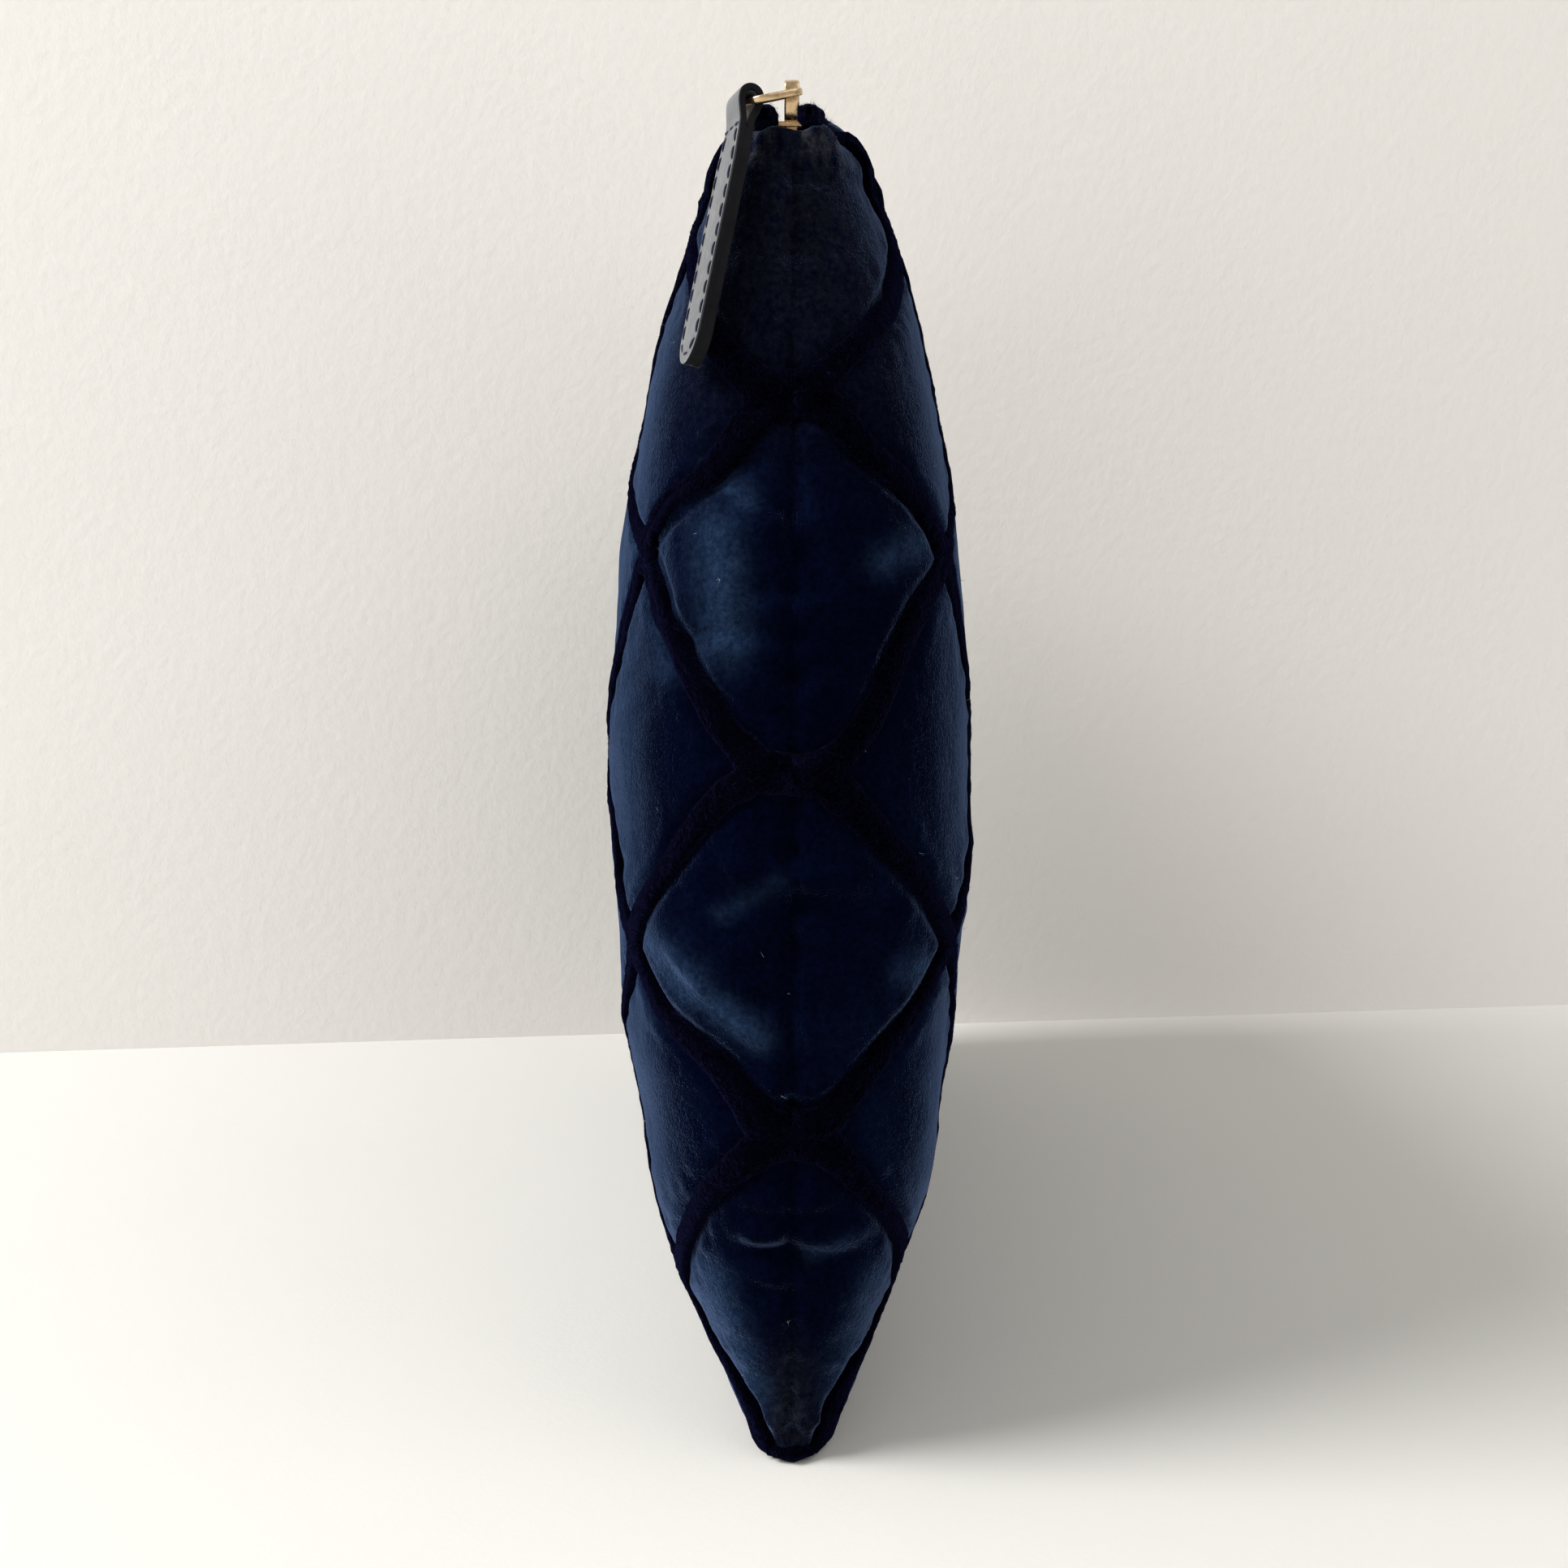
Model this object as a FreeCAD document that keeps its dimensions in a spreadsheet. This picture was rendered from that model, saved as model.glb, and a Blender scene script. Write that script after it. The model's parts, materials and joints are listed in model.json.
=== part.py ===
"""A stuffed velvet zip pouch: two padded panels under a trellis of felt trim, a zip and a leather pull.

X runs along the zip with the closed slider at +X, the front panel faces -Y, and Z is up from the base.
Millimetres throughout.
"""

import FreeCAD, Part
import Sketcher
import math
import os

from FreeCAD import Placement, Rotation, Vector

SIZES = {
    # The stuffed body
    "pouch_length": 280,
    "pouch_thickness": 66,
    "pouch_height": 217,
    "base_width": 12.6,
    "end_recess": 12,
    "plan_power": 7,
    "side_power": 1.4,
    "mouth_level": 205,
    "mouth_length": 239,
    "corner_level": 210.8,
    # Its layers
    "layer_gap": 0.15,
    "velvet_thickness": 1.2,
    "padding_thickness": 2,
    "lining_thickness": 0.5,
    "seam_gap": 0.1,
    # The trellis of trim
    "trim_thickness": 1,
    "trellis_rows": 4,
    "trellis_columns": 5,
    "trellis_row": 57,
    "trellis_column": 62,
    "seam_offset": 3.5,
    "node_half": 5.2,
    "opening_power": 1.1,
    # The mouth
    "zip_level": 213.4,
    "lip_length": 238,
    "lip_inner": 3.9,
    "lip_outer": 15,
    "lip_fold": 1.4,
    "lip_top": 1.7,
    "lip_under": 0.55,
    "roll_width": 4,
    "roll_height": 2.95,
    "roll_radius": 1.2,
    # The zip
    "tape_length": 253.8,
    "tape_edge": 1.85,
    "tape_width": 6.65,
    "tape_thickness": 0.5,
    "tooth_length": 1,
    "tooth_reach": 2.25,
    "tooth_overlap": 0.45,
    "tooth_height": 2.2,
    "tooth_pitch": 2.2,
    "tooth_count": 109,
    "first_tooth": 119.3,
    "stop_length": 1.8,
    "stop_height": 1.8,
    "top_stop_inner": 1.3,
    "stop_outer": 2.6,
    "top_stop_start": 125.5,
    "bottom_stop_start": -124.4,
    "stop_slot": 0.6,
    "stop_play": 0.1,
    # The slider
    "slider_rest": 124.7,
    "slider_length": 8.6,
    "slider_width": 7.3,
    "slider_nose": 5.2,
    "slider_tail": 5.4,
    "plate_thickness": 0.8,
    "plate_gap": 2.8,
    "flange_width": 0.7,
    "flange_depth": 0.55,
    "neck_length": 2.4,
    "neck_width": 2,
    "crown_width": 2.3,
    "crown_height": 3.4,
    "crown_bridge": 1.15,
    "crown_leg": 1.3,
    "crown_span": 7.1,
    "crown_radius": 0.9,
    # The ring through the crown, and the pull folded over the ring
    "ring_across": 10,
    "ring_reach": 11.6,
    "ring_bar": 1.2,
    "ring_height": 1.1,
    "ring_corner": 2.4,
    "ring_offset": 2.15,
    "ring_pivot": 2.15,
    "ring_level": 3.84,
    "ring_tilt": 10,
    "pull_yaw": 18,
    "pull_lean": 12.5,
    "pull_length": 38.6,
    "pull_width": 9.6,
    "pull_neck": 6.6,
    "pull_thickness": 3,
    "loop_radius": 2.5,
    "loop_hole": 1.1,
    "loop_drop": 5.2,
    "stitch_length": 1.9,
    "stitch_width": 0.45,
    "stitch_pitch": 2.8,
    "stitch_proud": 0.15,
    "stitch_sunk": 0.2,
    "stitch_inset": 1.4,
}

# How closely the points of a level curve crowd into its corners
PLAN_CROWDING = 3.15
PLAN_STEPS = 10
LEVEL_STEPS = 12
ARC_STEPS = 240
OPENING_POINTS = 20
TOOL_REACH = 15
MARGIN = 40

doc = FreeCAD.newDocument("zippered_pouch")
sheet = doc.addObject("Spreadsheet::Sheet", "sizes")
for row, (alias, number) in enumerate(SIZES.items(), start=1):
    sheet.set(f"A{row}", alias)
    sheet.set(f"B{row}", str(number))
    sheet.setAlias(f"B{row}", alias)
doc.recompute()


def size(alias):
    """The sheet's number for one driving dimension."""
    return float(sheet.get(alias))


def worked_out(expression):
    """The number that a sheet expression gives now."""
    return float(sheet.evalExpression(expression))


def bind(thing, values):
    """Binds each property of a document object to its expression."""
    for name, expression in values.items():
        thing.setExpression(name, expression)


# Parametric helpers ---------------------------------------------------------------------------------------------


def new_body(name):
    body = doc.addObject("PartDesign::Body", name)
    body.Label = name
    body.AllowCompound = True
    return body


def new_sketch(body, role):
    """A sketch on one of the body's own origin planes."""
    sketch = body.newObject("Sketcher::SketchObject", body.Name + "_sketch")
    plane = next(part for part in body.Origin.OriginFeatures if part.Role == role)
    sketch.AttachmentSupport = (plane, [""])
    sketch.MapMode = "FlatFace"
    return sketch


def outline(sketch, corners):
    """Straight edges through corners, each a pair of expressions that hold it from the sketch's origin."""
    points = [Vector(worked_out(x), worked_out(y), 0) for x, y in corners]
    first = sketch.GeometryCount
    count = len(points)
    for i in range(count):
        sketch.addGeometry(Part.LineSegment(points[i], points[(i + 1) % count]), False)
    for i in range(count):
        sketch.addConstraint(Sketcher.Constraint("Coincident", first + i, 2, first + (i + 1) % count, 1))
    for i, corner in enumerate(corners):
        for kind, number, expression in (
            ("DistanceX", points[i].x, corner[0]),
            ("DistanceY", points[i].y, corner[1]),
        ):
            index = sketch.addConstraint(Sketcher.Constraint(kind, -1, 1, first + i, 1, number))
            sketch.setExpression(f"Constraints[{index}]", on_sheet(expression))


def circle(sketch, radius):
    """A circle about the sketch's origin."""
    index = sketch.addGeometry(Part.Circle(Vector(), Vector(0, 0, 1), worked_out(radius)), False)
    sketch.addConstraint(Sketcher.Constraint("Coincident", index, 3, -1, 1))
    held = sketch.addConstraint(Sketcher.Constraint("Radius", index, worked_out(radius)))
    sketch.setExpression(f"Constraints[{held}]", on_sheet(radius))


def on_sheet(expression):
    """The same expression with each alias read from the sheet by another object."""
    words = []
    word = ""
    for letter in expression + " ":
        if letter.isalnum() or letter in "_.":
            word += letter
            continue
        words.append(f"sizes.{word}" if word in SIZES else word)
        words.append(letter)
        word = ""
    return "".join(words).strip()


def pad(body, sketch, length):
    """A block grown both ways from the sketch."""
    feature = body.newObject("PartDesign::Pad", body.Name + "_pad")
    feature.Profile = sketch
    feature.SideType = "Symmetric"
    feature.setExpression("Length", on_sheet(length))
    doc.recompute()
    return feature


def pocket(body, sketch, length):
    """A cut both ways from the sketch, which has to take some material."""
    before = body.Shape.Volume
    feature = body.newObject("PartDesign::Pocket", body.Name + "_pocket")
    feature.Profile = sketch
    feature.SideType = "Symmetric"
    feature.setExpression("Length", on_sheet(length))
    doc.recompute()
    if not body.Shape.Volume < before - 0.01:
        raise RuntimeError(f"{feature.Name} cut nothing from {body.Label}")
    return feature


def round_edges(body, feature, radius, wanted):
    """Rounds the edges of a feature that pass a test."""
    names = [f"Edge{i}" for i, edge in enumerate(feature.Shape.Edges, start=1) if wanted(edge)]
    fillet = body.newObject("PartDesign::Fillet", body.Name + "_fillet")
    fillet.Base = (feature, names)
    fillet.setExpression("Radius", on_sheet(radius))
    doc.recompute()
    return fillet


def runs_along(edge, axis):
    """True where an edge is a straight line along an axis."""
    if len(edge.Vertexes) != 2 or not isinstance(edge.Curve, Part.Line):
        return False
    return abs(edge.tangentAt(edge.FirstParameter).dot(axis)) > 0.999


def box(name, lengths, corner):
    """A Part::Box bound to the sheet: three expressions for its sizes and three for its lowest corner."""
    block = doc.addObject("Part::Box", name)
    bind(block, dict(zip(("Length", "Width", "Height"), map(on_sheet, lengths))))
    bind(block, {f"Placement.Base.{axis}": on_sheet(text) for axis, text in zip("xyz", corner)})
    return block


def boolean(kind, name, base, tool):
    result = doc.addObject(kind, name)
    result.Base = base
    result.Tool = tool
    return result


def mirrored(name, source):
    """The same piece on the other panel."""
    copy = doc.addObject("Part::Mirroring", name)
    copy.Label = name
    copy.Source = source
    copy.Normal = Vector(0, 1, 0)
    return copy


def place(body, position, turn=Rotation()):
    body.Placement = Placement(position, turn)


# The stuffed shape ----------------------------------------------------------------------------------------------


def rise(level, inset):
    """How far up a skin a level is, from -1 at its floor to 1 at its top."""
    centre = size("pouch_height") / 2
    return max(-1.0, min(1.0, (level - centre) / (centre - inset)))


def half_width(level, inset):
    """Half the pouch's thickness at a level, for the skin that lies this far inside the velvet's face."""
    swell = (1 - rise(level, inset) ** 2) ** (size("side_power") / 2)
    foot = size("base_width") / 2 - inset
    return foot + (size("pouch_thickness") / 2 - inset - foot) * swell


def half_length(level, inset):
    """Half the pouch's length at a level: its ends draw in towards the base and the mouth."""
    return size("pouch_length") / 2 - inset - size("end_recess") * rise(level, inset) ** 2


def plan_point(turn, level, inset):
    """A point of a skin's level curve; a quarter turn is a quarter of the curve."""
    power = size("plan_power")
    along = math.copysign(abs(math.cos(turn)) ** (PLAN_CROWDING / power), math.cos(turn))
    across = math.copysign(math.sqrt(max(0.0, 1 - abs(along) ** power)), math.sin(turn))
    return Vector(half_length(level, inset) * along, half_width(level, inset) * across, level)


def level_wire(level, inset, knots):
    count = 4 * PLAN_STEPS
    points = [plan_point(2 * math.pi * i / count, level, inset) for i in range(count)]
    curve = Part.BSplineCurve()
    curve.interpolate(Points=points, PeriodicFlag=True, Parameters=knots)
    return Part.Wire([curve.toShape()])


def shared_knots():
    """The same parameters for every level's curve, from the chords of the fullest one."""
    count = 4 * PLAN_STEPS
    middle = size("pouch_height") / 2
    points = [plan_point(2 * math.pi * i / count, middle, 0) for i in range(count)]
    knots = [0.0]
    for i in range(count):
        knots.append(knots[-1] + points[i].distanceToPoint(points[(i + 1) % count]))
    return [knot / knots[-1] for knot in knots]


def skin(name, inset, top):
    """The solid inside one skin of the pouch, from its floor to a top level."""
    centre = size("pouch_height") / 2
    radius = centre - inset
    last = math.acos(max(-1.0, -(top - centre) / radius))
    knots = shared_knots()
    levels = [centre - radius * math.cos(last * i / LEVEL_STEPS) for i in range(LEVEL_STEPS + 1)]
    solid = Part.makeLoft([level_wire(level, inset, knots) for level in levels], True, False)
    feature = doc.addObject("Part::Feature", name)
    feature.Shape = solid
    feature.Placement = Placement()
    return feature


def layer(name, outer_inset, thickness, roof):
    """One cloth layer as a front half and its mirror, open at the mouth."""
    top = size("corner_level") if roof else size("mouth_level") - outer_inset
    inner_top = top - thickness if roof else top + 1
    outside = skin(name + "_outside", outer_inset, top)
    inside = skin(name + "_inside", outer_inset + thickness, inner_top)
    shell = boolean("Part::Cut", name + "_shell", outside, inside)
    opened = boolean("Part::Cut", name + "_opened", shell, mouth_block)
    front = boolean("Part::Common", name + "_front", opened, front_block)
    front.Label = name + "_front"
    back = mirrored(name + "_back", front)
    return front, back


reach = f"pouch_length + {2 * MARGIN}"
mouth_block = box(
    "mouth_block",
    ("mouth_length", f"pouch_thickness + {2 * MARGIN}", f"{MARGIN}"),
    ("-mouth_length / 2", f"-pouch_thickness / 2 - {MARGIN}", "mouth_level"),
)
front_block = box(
    "front_block",
    (reach, f"pouch_thickness / 2 + {MARGIN} - seam_gap / 2", f"pouch_height + {MARGIN}"),
    (f"-pouch_length / 2 - {MARGIN}", f"-pouch_thickness / 2 - {MARGIN}", "0"),
)
doc.recompute()

padding_inset = size("velvet_thickness") + size("layer_gap")
lining_inset = padding_inset + size("padding_thickness") + size("layer_gap")
velvet = layer("velvet", 0.0, size("velvet_thickness"), roof=True)
padding = layer("padding", padding_inset, size("padding_thickness"), roof=False)
lining = layer("lining", lining_inset, size("lining_thickness"), roof=False)


# The trellis of trim on the velvet ------------------------------------------------------------------------------


def front_curve(level):
    """The front panel's level curve from the +X seam to the -X seam, with its running lengths."""
    points = [plan_point(-math.pi * i / ARC_STEPS, level, 0) for i in range(ARC_STEPS + 1)]
    lengths = [0.0]
    for before, after in zip(points, points[1:]):
        lengths.append(lengths[-1] + before.distanceToPoint(after))
    return points, lengths


def on_front(share, level):
    """The point of the front panel at a share of the way round it; past a seam it is mirrored onto the back."""
    beyond = share < 0 or share > 1
    inside_share = -share if share < 0 else min(share, 2 - share)
    points, lengths = front_curve(max(0.0, min(size("pouch_height"), level)))
    wanted = inside_share * lengths[-1]
    i = next(k for k in range(1, len(lengths)) if lengths[k] >= wanted - 1e-9)
    part = (wanted - lengths[i - 1]) / (lengths[i] - lengths[i - 1])
    point = points[i - 1] + (points[i] - points[i - 1]) * part
    return Vector(point.x, -point.y if beyond else point.y, level)


def opening(along, level, half_along, half_up, flat):
    """A tool that cuts one rounded diamond, square to the panel at its middle."""
    width = flat_width()
    before = on_front((along - 1) / width, level)
    after = on_front((along + 1) / width, level)
    tangent = (after - before).normalize()
    normal = Vector(-tangent.y, tangent.x, 0)
    if normal.dot(Vector(on_front(along / width, level).x, -1, 0)) < 0:
        normal = normal * -1
    middle = on_front(along / width, level)
    corners = []
    for i in range(OPENING_POINTS):
        turn = 2 * math.pi * i / OPENING_POINTS
        across = diamond(math.cos(turn)) * half_along
        up = diamond(math.sin(turn)) * half_up
        across += math.copysign(flat, across) if abs(across) > 1e-6 else 0.0
        point = on_front((along + across) / width, level + up)
        corners.append(point + normal * (TOOL_REACH - (point - middle).dot(normal)))
    face = Part.Face(Part.makePolygon(corners + corners[:1]))
    return face.extrude(normal * -2 * TOOL_REACH)


def diamond(part):
    return math.copysign(abs(part) ** (2 / size("opening_power")), part)


def flat_width():
    """The panel's width round the pouch from seam to seam."""
    return size("trellis_columns") * size("trellis_column") + 2 * size("seam_offset")


def trellis_openings():
    """Every diamond that shows velvet on the front panel."""
    row = size("trellis_row")
    half_up = row / 2 - size("node_half")
    half_along = size("trellis_column") / 2 - size("node_half")
    tools = []
    for column in range(2 * int(size("trellis_columns")) + 1):
        on_seam_line = column % 2 == 0
        along = size("seam_offset") + column * size("trellis_column") / 2
        at_seam = column in (0, 2 * int(size("trellis_columns")))
        if at_seam:
            along = 0.0 if column == 0 else flat_width()
        first = 0.5 if on_seam_line else 0.0
        for k in range(int(size("trellis_rows")) + 1):
            level = (first + k) * row
            if level - half_up > size("corner_level"):
                continue
            flat = size("seam_offset") if at_seam else 0.0
            tools.append(opening(along, level, half_along, half_up, flat))
    return tools


trim_outside = skin("trim_outside", -size("layer_gap") - size("trim_thickness"), size("corner_level"))
trim_inside = skin("trim_inside", -size("layer_gap"), size("corner_level") + 1)
trim_shell = boolean("Part::Cut", "trim_shell", trim_outside, trim_inside)
trim_opened = boolean("Part::Cut", "trim_opened", trim_shell, mouth_block)
trim_half = boolean("Part::Common", "trim_half", trim_opened, front_block)
openings = doc.addObject("Part::Feature", "trellis_openings")
openings.Shape = Part.makeCompound(trellis_openings())
openings.Placement = Placement()
trim_front = boolean("Part::Cut", "trim_front", trim_half, openings)
trim_front.Label = "trim_front"
trim = (trim_front, mirrored("trim_back", trim_front))
doc.recompute()


# The lips of the mouth ------------------------------------------------------------------------------------------


def swept_strip(name, corners, length, radius=None):
    """A profile in the YZ plane drawn along X about the middle."""
    body = new_body(name)
    sketch = new_sketch(body, "YZ_Plane")
    outline(sketch, corners)
    strip = pad(body, sketch, length)
    if radius:
        round_edges(body, strip, radius, lambda edge: runs_along(edge, Vector(1, 0, 0)))
    return body


def lip_velvet():
    """The turned-in velvet edge, from the panel's top up to the zip."""
    corners = (
        ("-lip_outer", "mouth_level + 0.4"),
        ("-lip_outer + 2.1", "zip_level - 4"),
        ("-lip_outer + 3.8", "zip_level - 1.1"),
        ("-lip_outer + 5.4", "zip_level + lip_top - 0.4"),
        ("-lip_outer + 6.1", "zip_level + lip_top"),
        ("-lip_inner - 0.3", "zip_level + lip_top"),
        ("-lip_inner - 0.3", "zip_level + lip_under"),
        ("-lip_outer + 6.6", "zip_level + lip_under"),
        ("-lip_outer + 5.1", "zip_level - 1.2"),
        ("-lip_outer + 3.3", "zip_level - 4.4"),
        ("-lip_outer + lip_fold - 0.1", "mouth_level + 0.4"),
    )
    return swept_strip("lip_velvet_front", corners, "lip_length")


def lip_trim():
    """The felt roll along the lip, beside the zip."""
    floor = "zip_level + lip_top + layer_gap"
    ceiling = f"{floor} + roll_height"
    corners = (
        ("-lip_inner - roll_width", floor),
        ("-lip_inner", floor),
        ("-lip_inner", ceiling),
        ("-lip_inner - roll_width", ceiling),
    )
    return swept_strip("lip_trim_front", corners, "lip_length", "roll_radius")


def zip_tape():
    tape = box(
        "tape_front",
        ("tape_length", "tape_width", "tape_thickness"),
        ("-tape_length / 2", "-tape_edge - tape_width", "zip_level - tape_thickness / 2"),
    )
    tape.Label = "tape_front"
    return tape


lip_velvet_front = lip_velvet()
lip_trim_front = lip_trim()
tape_front = zip_tape()
lips = (
    lip_velvet_front,
    mirrored("lip_velvet_back", lip_velvet_front),
    lip_trim_front,
    mirrored("lip_trim_back", lip_trim_front),
    tape_front,
    mirrored("tape_back", tape_front),
)


# The zip's teeth and stops --------------------------------------------------------------------------------------


def teeth(name, side, shift):
    """One row of teeth: a group of separate solids, one pitch apart."""
    body = new_body(name)
    sketch = new_sketch(body, "XY_Plane")
    near = f"{side} * tooth_reach - {side} * tooth_overlap"
    far = f"-{side} * tooth_overlap" if side > 0 else "tooth_overlap"
    corners = (
        ("-tooth_length / 2", far),
        ("tooth_length / 2", far),
        ("tooth_length / 2", near),
        ("-tooth_length / 2", near),
    )
    outline(sketch, corners)
    tooth = pad(body, sketch, "tooth_height")
    row = body.newObject("PartDesign::LinearPattern", name + "_row")
    row.Originals = [tooth]
    axis = next(part for part in body.Origin.OriginFeatures if part.Role == "X_Axis")
    row.Direction = (axis, [""])
    row.Reversed = True
    row.setExpression("Length", on_sheet("tooth_pitch * (tooth_count - 1)"))
    row.setExpression("Occurrences", on_sheet("tooth_count"))
    body.Tip = row
    doc.recompute()
    place(body, Vector(size("first_tooth") - shift, 0, size("zip_level")))
    return body


def stop_block(name, start, inner, outer):
    """The metal of a stop, between two distances from the zip's middle line."""
    return box(
        name,
        ("stop_length", f"{outer} - {inner}", "stop_height"),
        (start, inner, "zip_level - stop_height / 2"),
    )


def tape_slot(name, start, side):
    """The room in a stop for the edge of the tape on one side."""
    inner, outer = "tape_edge - stop_play", "stop_outer + 1"
    return box(
        name,
        ("stop_length + 2", f"{outer} - ({inner})", "stop_slot"),
        (f"{start} - 1", inner if side > 0 else f"-({outer})", "zip_level - stop_slot / 2"),
    )


teeth_front = teeth("teeth_front", -1, 0.0)
teeth_back = teeth("teeth_back", 1, size("tooth_pitch") / 2)
top_block = stop_block("top_stop_block", "top_stop_start", "top_stop_inner", "stop_outer")
top_stop = boolean("Part::Cut", "top_stop", top_block, tape_slot("top_stop_slot", "top_stop_start", 1))
top_stops = doc.addObject("Part::Compound", "top_stops")
top_stops.Label = "top_stops"
top_stops.Links = [top_stop, mirrored("top_stop_other", top_stop)]
bottom_block = stop_block("bottom_stop_block", "bottom_stop_start", "-stop_outer", "stop_outer")
half_cut = boolean("Part::Cut", "bottom_stop_half", bottom_block, tape_slot("slot_back", "bottom_stop_start", 1))
bottom_stop = boolean("Part::Cut", "bottom_stop", half_cut, tape_slot("slot_front", "bottom_stop_start", -1))
bottom_stop.Label = "bottom_stop"


# The slider -----------------------------------------------------------------------------------------------------


def mirrored_outline(sketch, half):
    """An outline from the corners of its +Y half."""
    other = [(x, f"-({y})") for x, y in reversed(half)]
    outline(sketch, list(half) + other)


def slider_body():
    """The casting: two shield-shaped plates, their side flanges, and the neck that parts the teeth."""
    body = new_body("slider_body")
    shield = (
        ("slider_length / 2", "slider_nose / 2"),
        ("slider_length / 2 - 1.3", "slider_width / 2"),
        ("0.5", "slider_width / 2"),
        ("-slider_length / 2", "slider_tail / 2"),
    )
    inside = (
        ("slider_length / 2 + 1", "slider_width / 2 - flange_width"),
        ("0.5", "slider_width / 2 - flange_width"),
        ("-slider_length / 2 - 1", "slider_tail / 2 - flange_width - 0.15"),
    )
    block = new_sketch(body, "XY_Plane")
    mirrored_outline(block, shield)
    pad(body, block, "plate_gap + 2 * plate_thickness")
    channel = new_sketch(body, "XY_Plane")
    mirrored_outline(channel, inside)
    pocket(body, channel, "plate_gap")
    sides = new_sketch(body, "XY_Plane")
    wide = (
        ("slider_length / 2 + 1", "slider_width"),
        ("-slider_length / 2 - 1", "slider_width"),
    )
    mirrored_outline(sides, wide)
    pocket(body, sides, "plate_gap - 2 * flange_depth")
    throat = new_sketch(body, "XY_Plane")
    open_end = (
        ("slider_length / 2 + 1", "slider_width"),
        ("1.5", "slider_width"),
    )
    mirrored_outline(throat, open_end)
    pocket(body, throat, "plate_gap")
    neck = new_sketch(body, "XY_Plane")
    wedge = (
        ("slider_length / 2 - 0.3", "neck_width / 2"),
        ("slider_length / 2 - neck_length + 0.6", "neck_width / 2"),
        ("slider_length / 2 - neck_length - 0.3", "0.2"),
    )
    mirrored_outline(neck, wedge)
    pad(body, neck, "plate_gap + plate_thickness")
    place(body, slider_origin())
    return body


def slider_crown():
    """The arch over the top plate that the ring runs through."""
    body = new_body("slider_crown")
    arch = new_sketch(body, "XZ_Plane")
    foot = "plate_gap / 2 + plate_thickness"
    half = "crown_span / 2"
    corners = (
        (f"-{half}", foot),
        (f"-{half}", f"{foot} + crown_height"),
        (half, f"{foot} + crown_height"),
        (half, foot),
        (f"{half} - crown_leg", foot),
        (f"{half} - crown_leg", f"{foot} + crown_height - crown_bridge"),
        (f"-{half} + crown_leg", f"{foot} + crown_height - crown_bridge"),
        (f"-{half} + crown_leg", foot),
    )
    outline(arch, corners)
    bar = pad(body, arch, "crown_width")
    top = worked_out(f"{foot} + crown_height")
    outer = worked_out(half)

    def outer_corner(edge):
        middle = edge.CenterOfMass
        return runs_along(edge, Vector(0, 1, 0)) and abs(middle.z - top) < 0.01 and abs(abs(middle.x) - outer) < 0.01

    round_edges(body, bar, "crown_radius", outer_corner)
    place(body, slider_origin())
    return body


def slider_origin():
    return Vector(size("slider_rest"), 0, size("zip_level"))


def leg_centre():
    """The middle of the crown's leg at the closed end, which the ring goes round."""
    return slider_origin() + Vector(size("crown_span") / 2 - size("crown_leg") / 2, 0, 0)


def across_ring():
    """The level direction along the ring's end bars."""
    yaw = math.radians(size("pull_yaw"))
    return Vector(math.cos(yaw), math.sin(yaw), 0)


def out_of_ring():
    """The level direction from the crown out to the pull."""
    yaw = math.radians(size("pull_yaw"))
    return Vector(math.sin(yaw), -math.cos(yaw), 0)


def ring_pivot():
    """The middle line of the ring's end bar behind the crown, where it hinges."""
    centre = leg_centre() + across_ring() * size("ring_offset") - out_of_ring() * size("ring_pivot")
    return centre + Vector(0, 0, size("ring_level"))


def pull_pivot():
    """The middle line of the ring's outer end bar, where the leather hinges."""
    tilt = math.radians(size("ring_tilt"))
    length = size("ring_reach") - size("ring_bar")
    return ring_pivot() + out_of_ring() * length * math.cos(tilt) - Vector(0, 0, length * math.sin(tilt))


def pull_ring():
    """A flat oval ring, drawn level with its hinge bar on the origin."""
    body = new_body("pull_ring")
    rim = new_sketch(body, "XY_Plane")
    near, far = "ring_bar / 2", "ring_bar / 2 - ring_reach"
    outline(rim, (
        ("-ring_across / 2", far), ("ring_across / 2", far), ("ring_across / 2", near), ("-ring_across / 2", near),
    ))
    plate = pad(body, rim, "ring_height")
    upright = Vector(0, 0, 1)
    round_edges(body, plate, "ring_corner", lambda edge: runs_along(edge, upright))
    hole = new_sketch(body, "XY_Plane")
    side = "ring_across / 2 - ring_bar"
    outline(hole, (
        (f"-({side})", f"{far} + ring_bar"), (side, f"{far} + ring_bar"), (side, "-ring_bar / 2"),
        (f"-({side})", "-ring_bar / 2"),
    ))
    cut = pocket(body, hole, "ring_height + 2")
    inner_half = worked_out(side)

    def inner_corner(edge):
        return runs_along(edge, upright) and abs(abs(edge.CenterOfMass.x) - inner_half) < 0.01

    round_edges(body, cut, "ring_corner - ring_bar", inner_corner)
    turn = Rotation(upright, size("pull_yaw")).multiply(Rotation(Vector(1, 0, 0), size("ring_tilt")))
    place(body, ring_pivot(), turn)
    return body


def pull_turn():
    lean = Rotation(Vector(1, 0, 0), -size("pull_lean"))
    return Rotation(Vector(0, 0, 1), size("pull_yaw")).multiply(lean)


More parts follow.
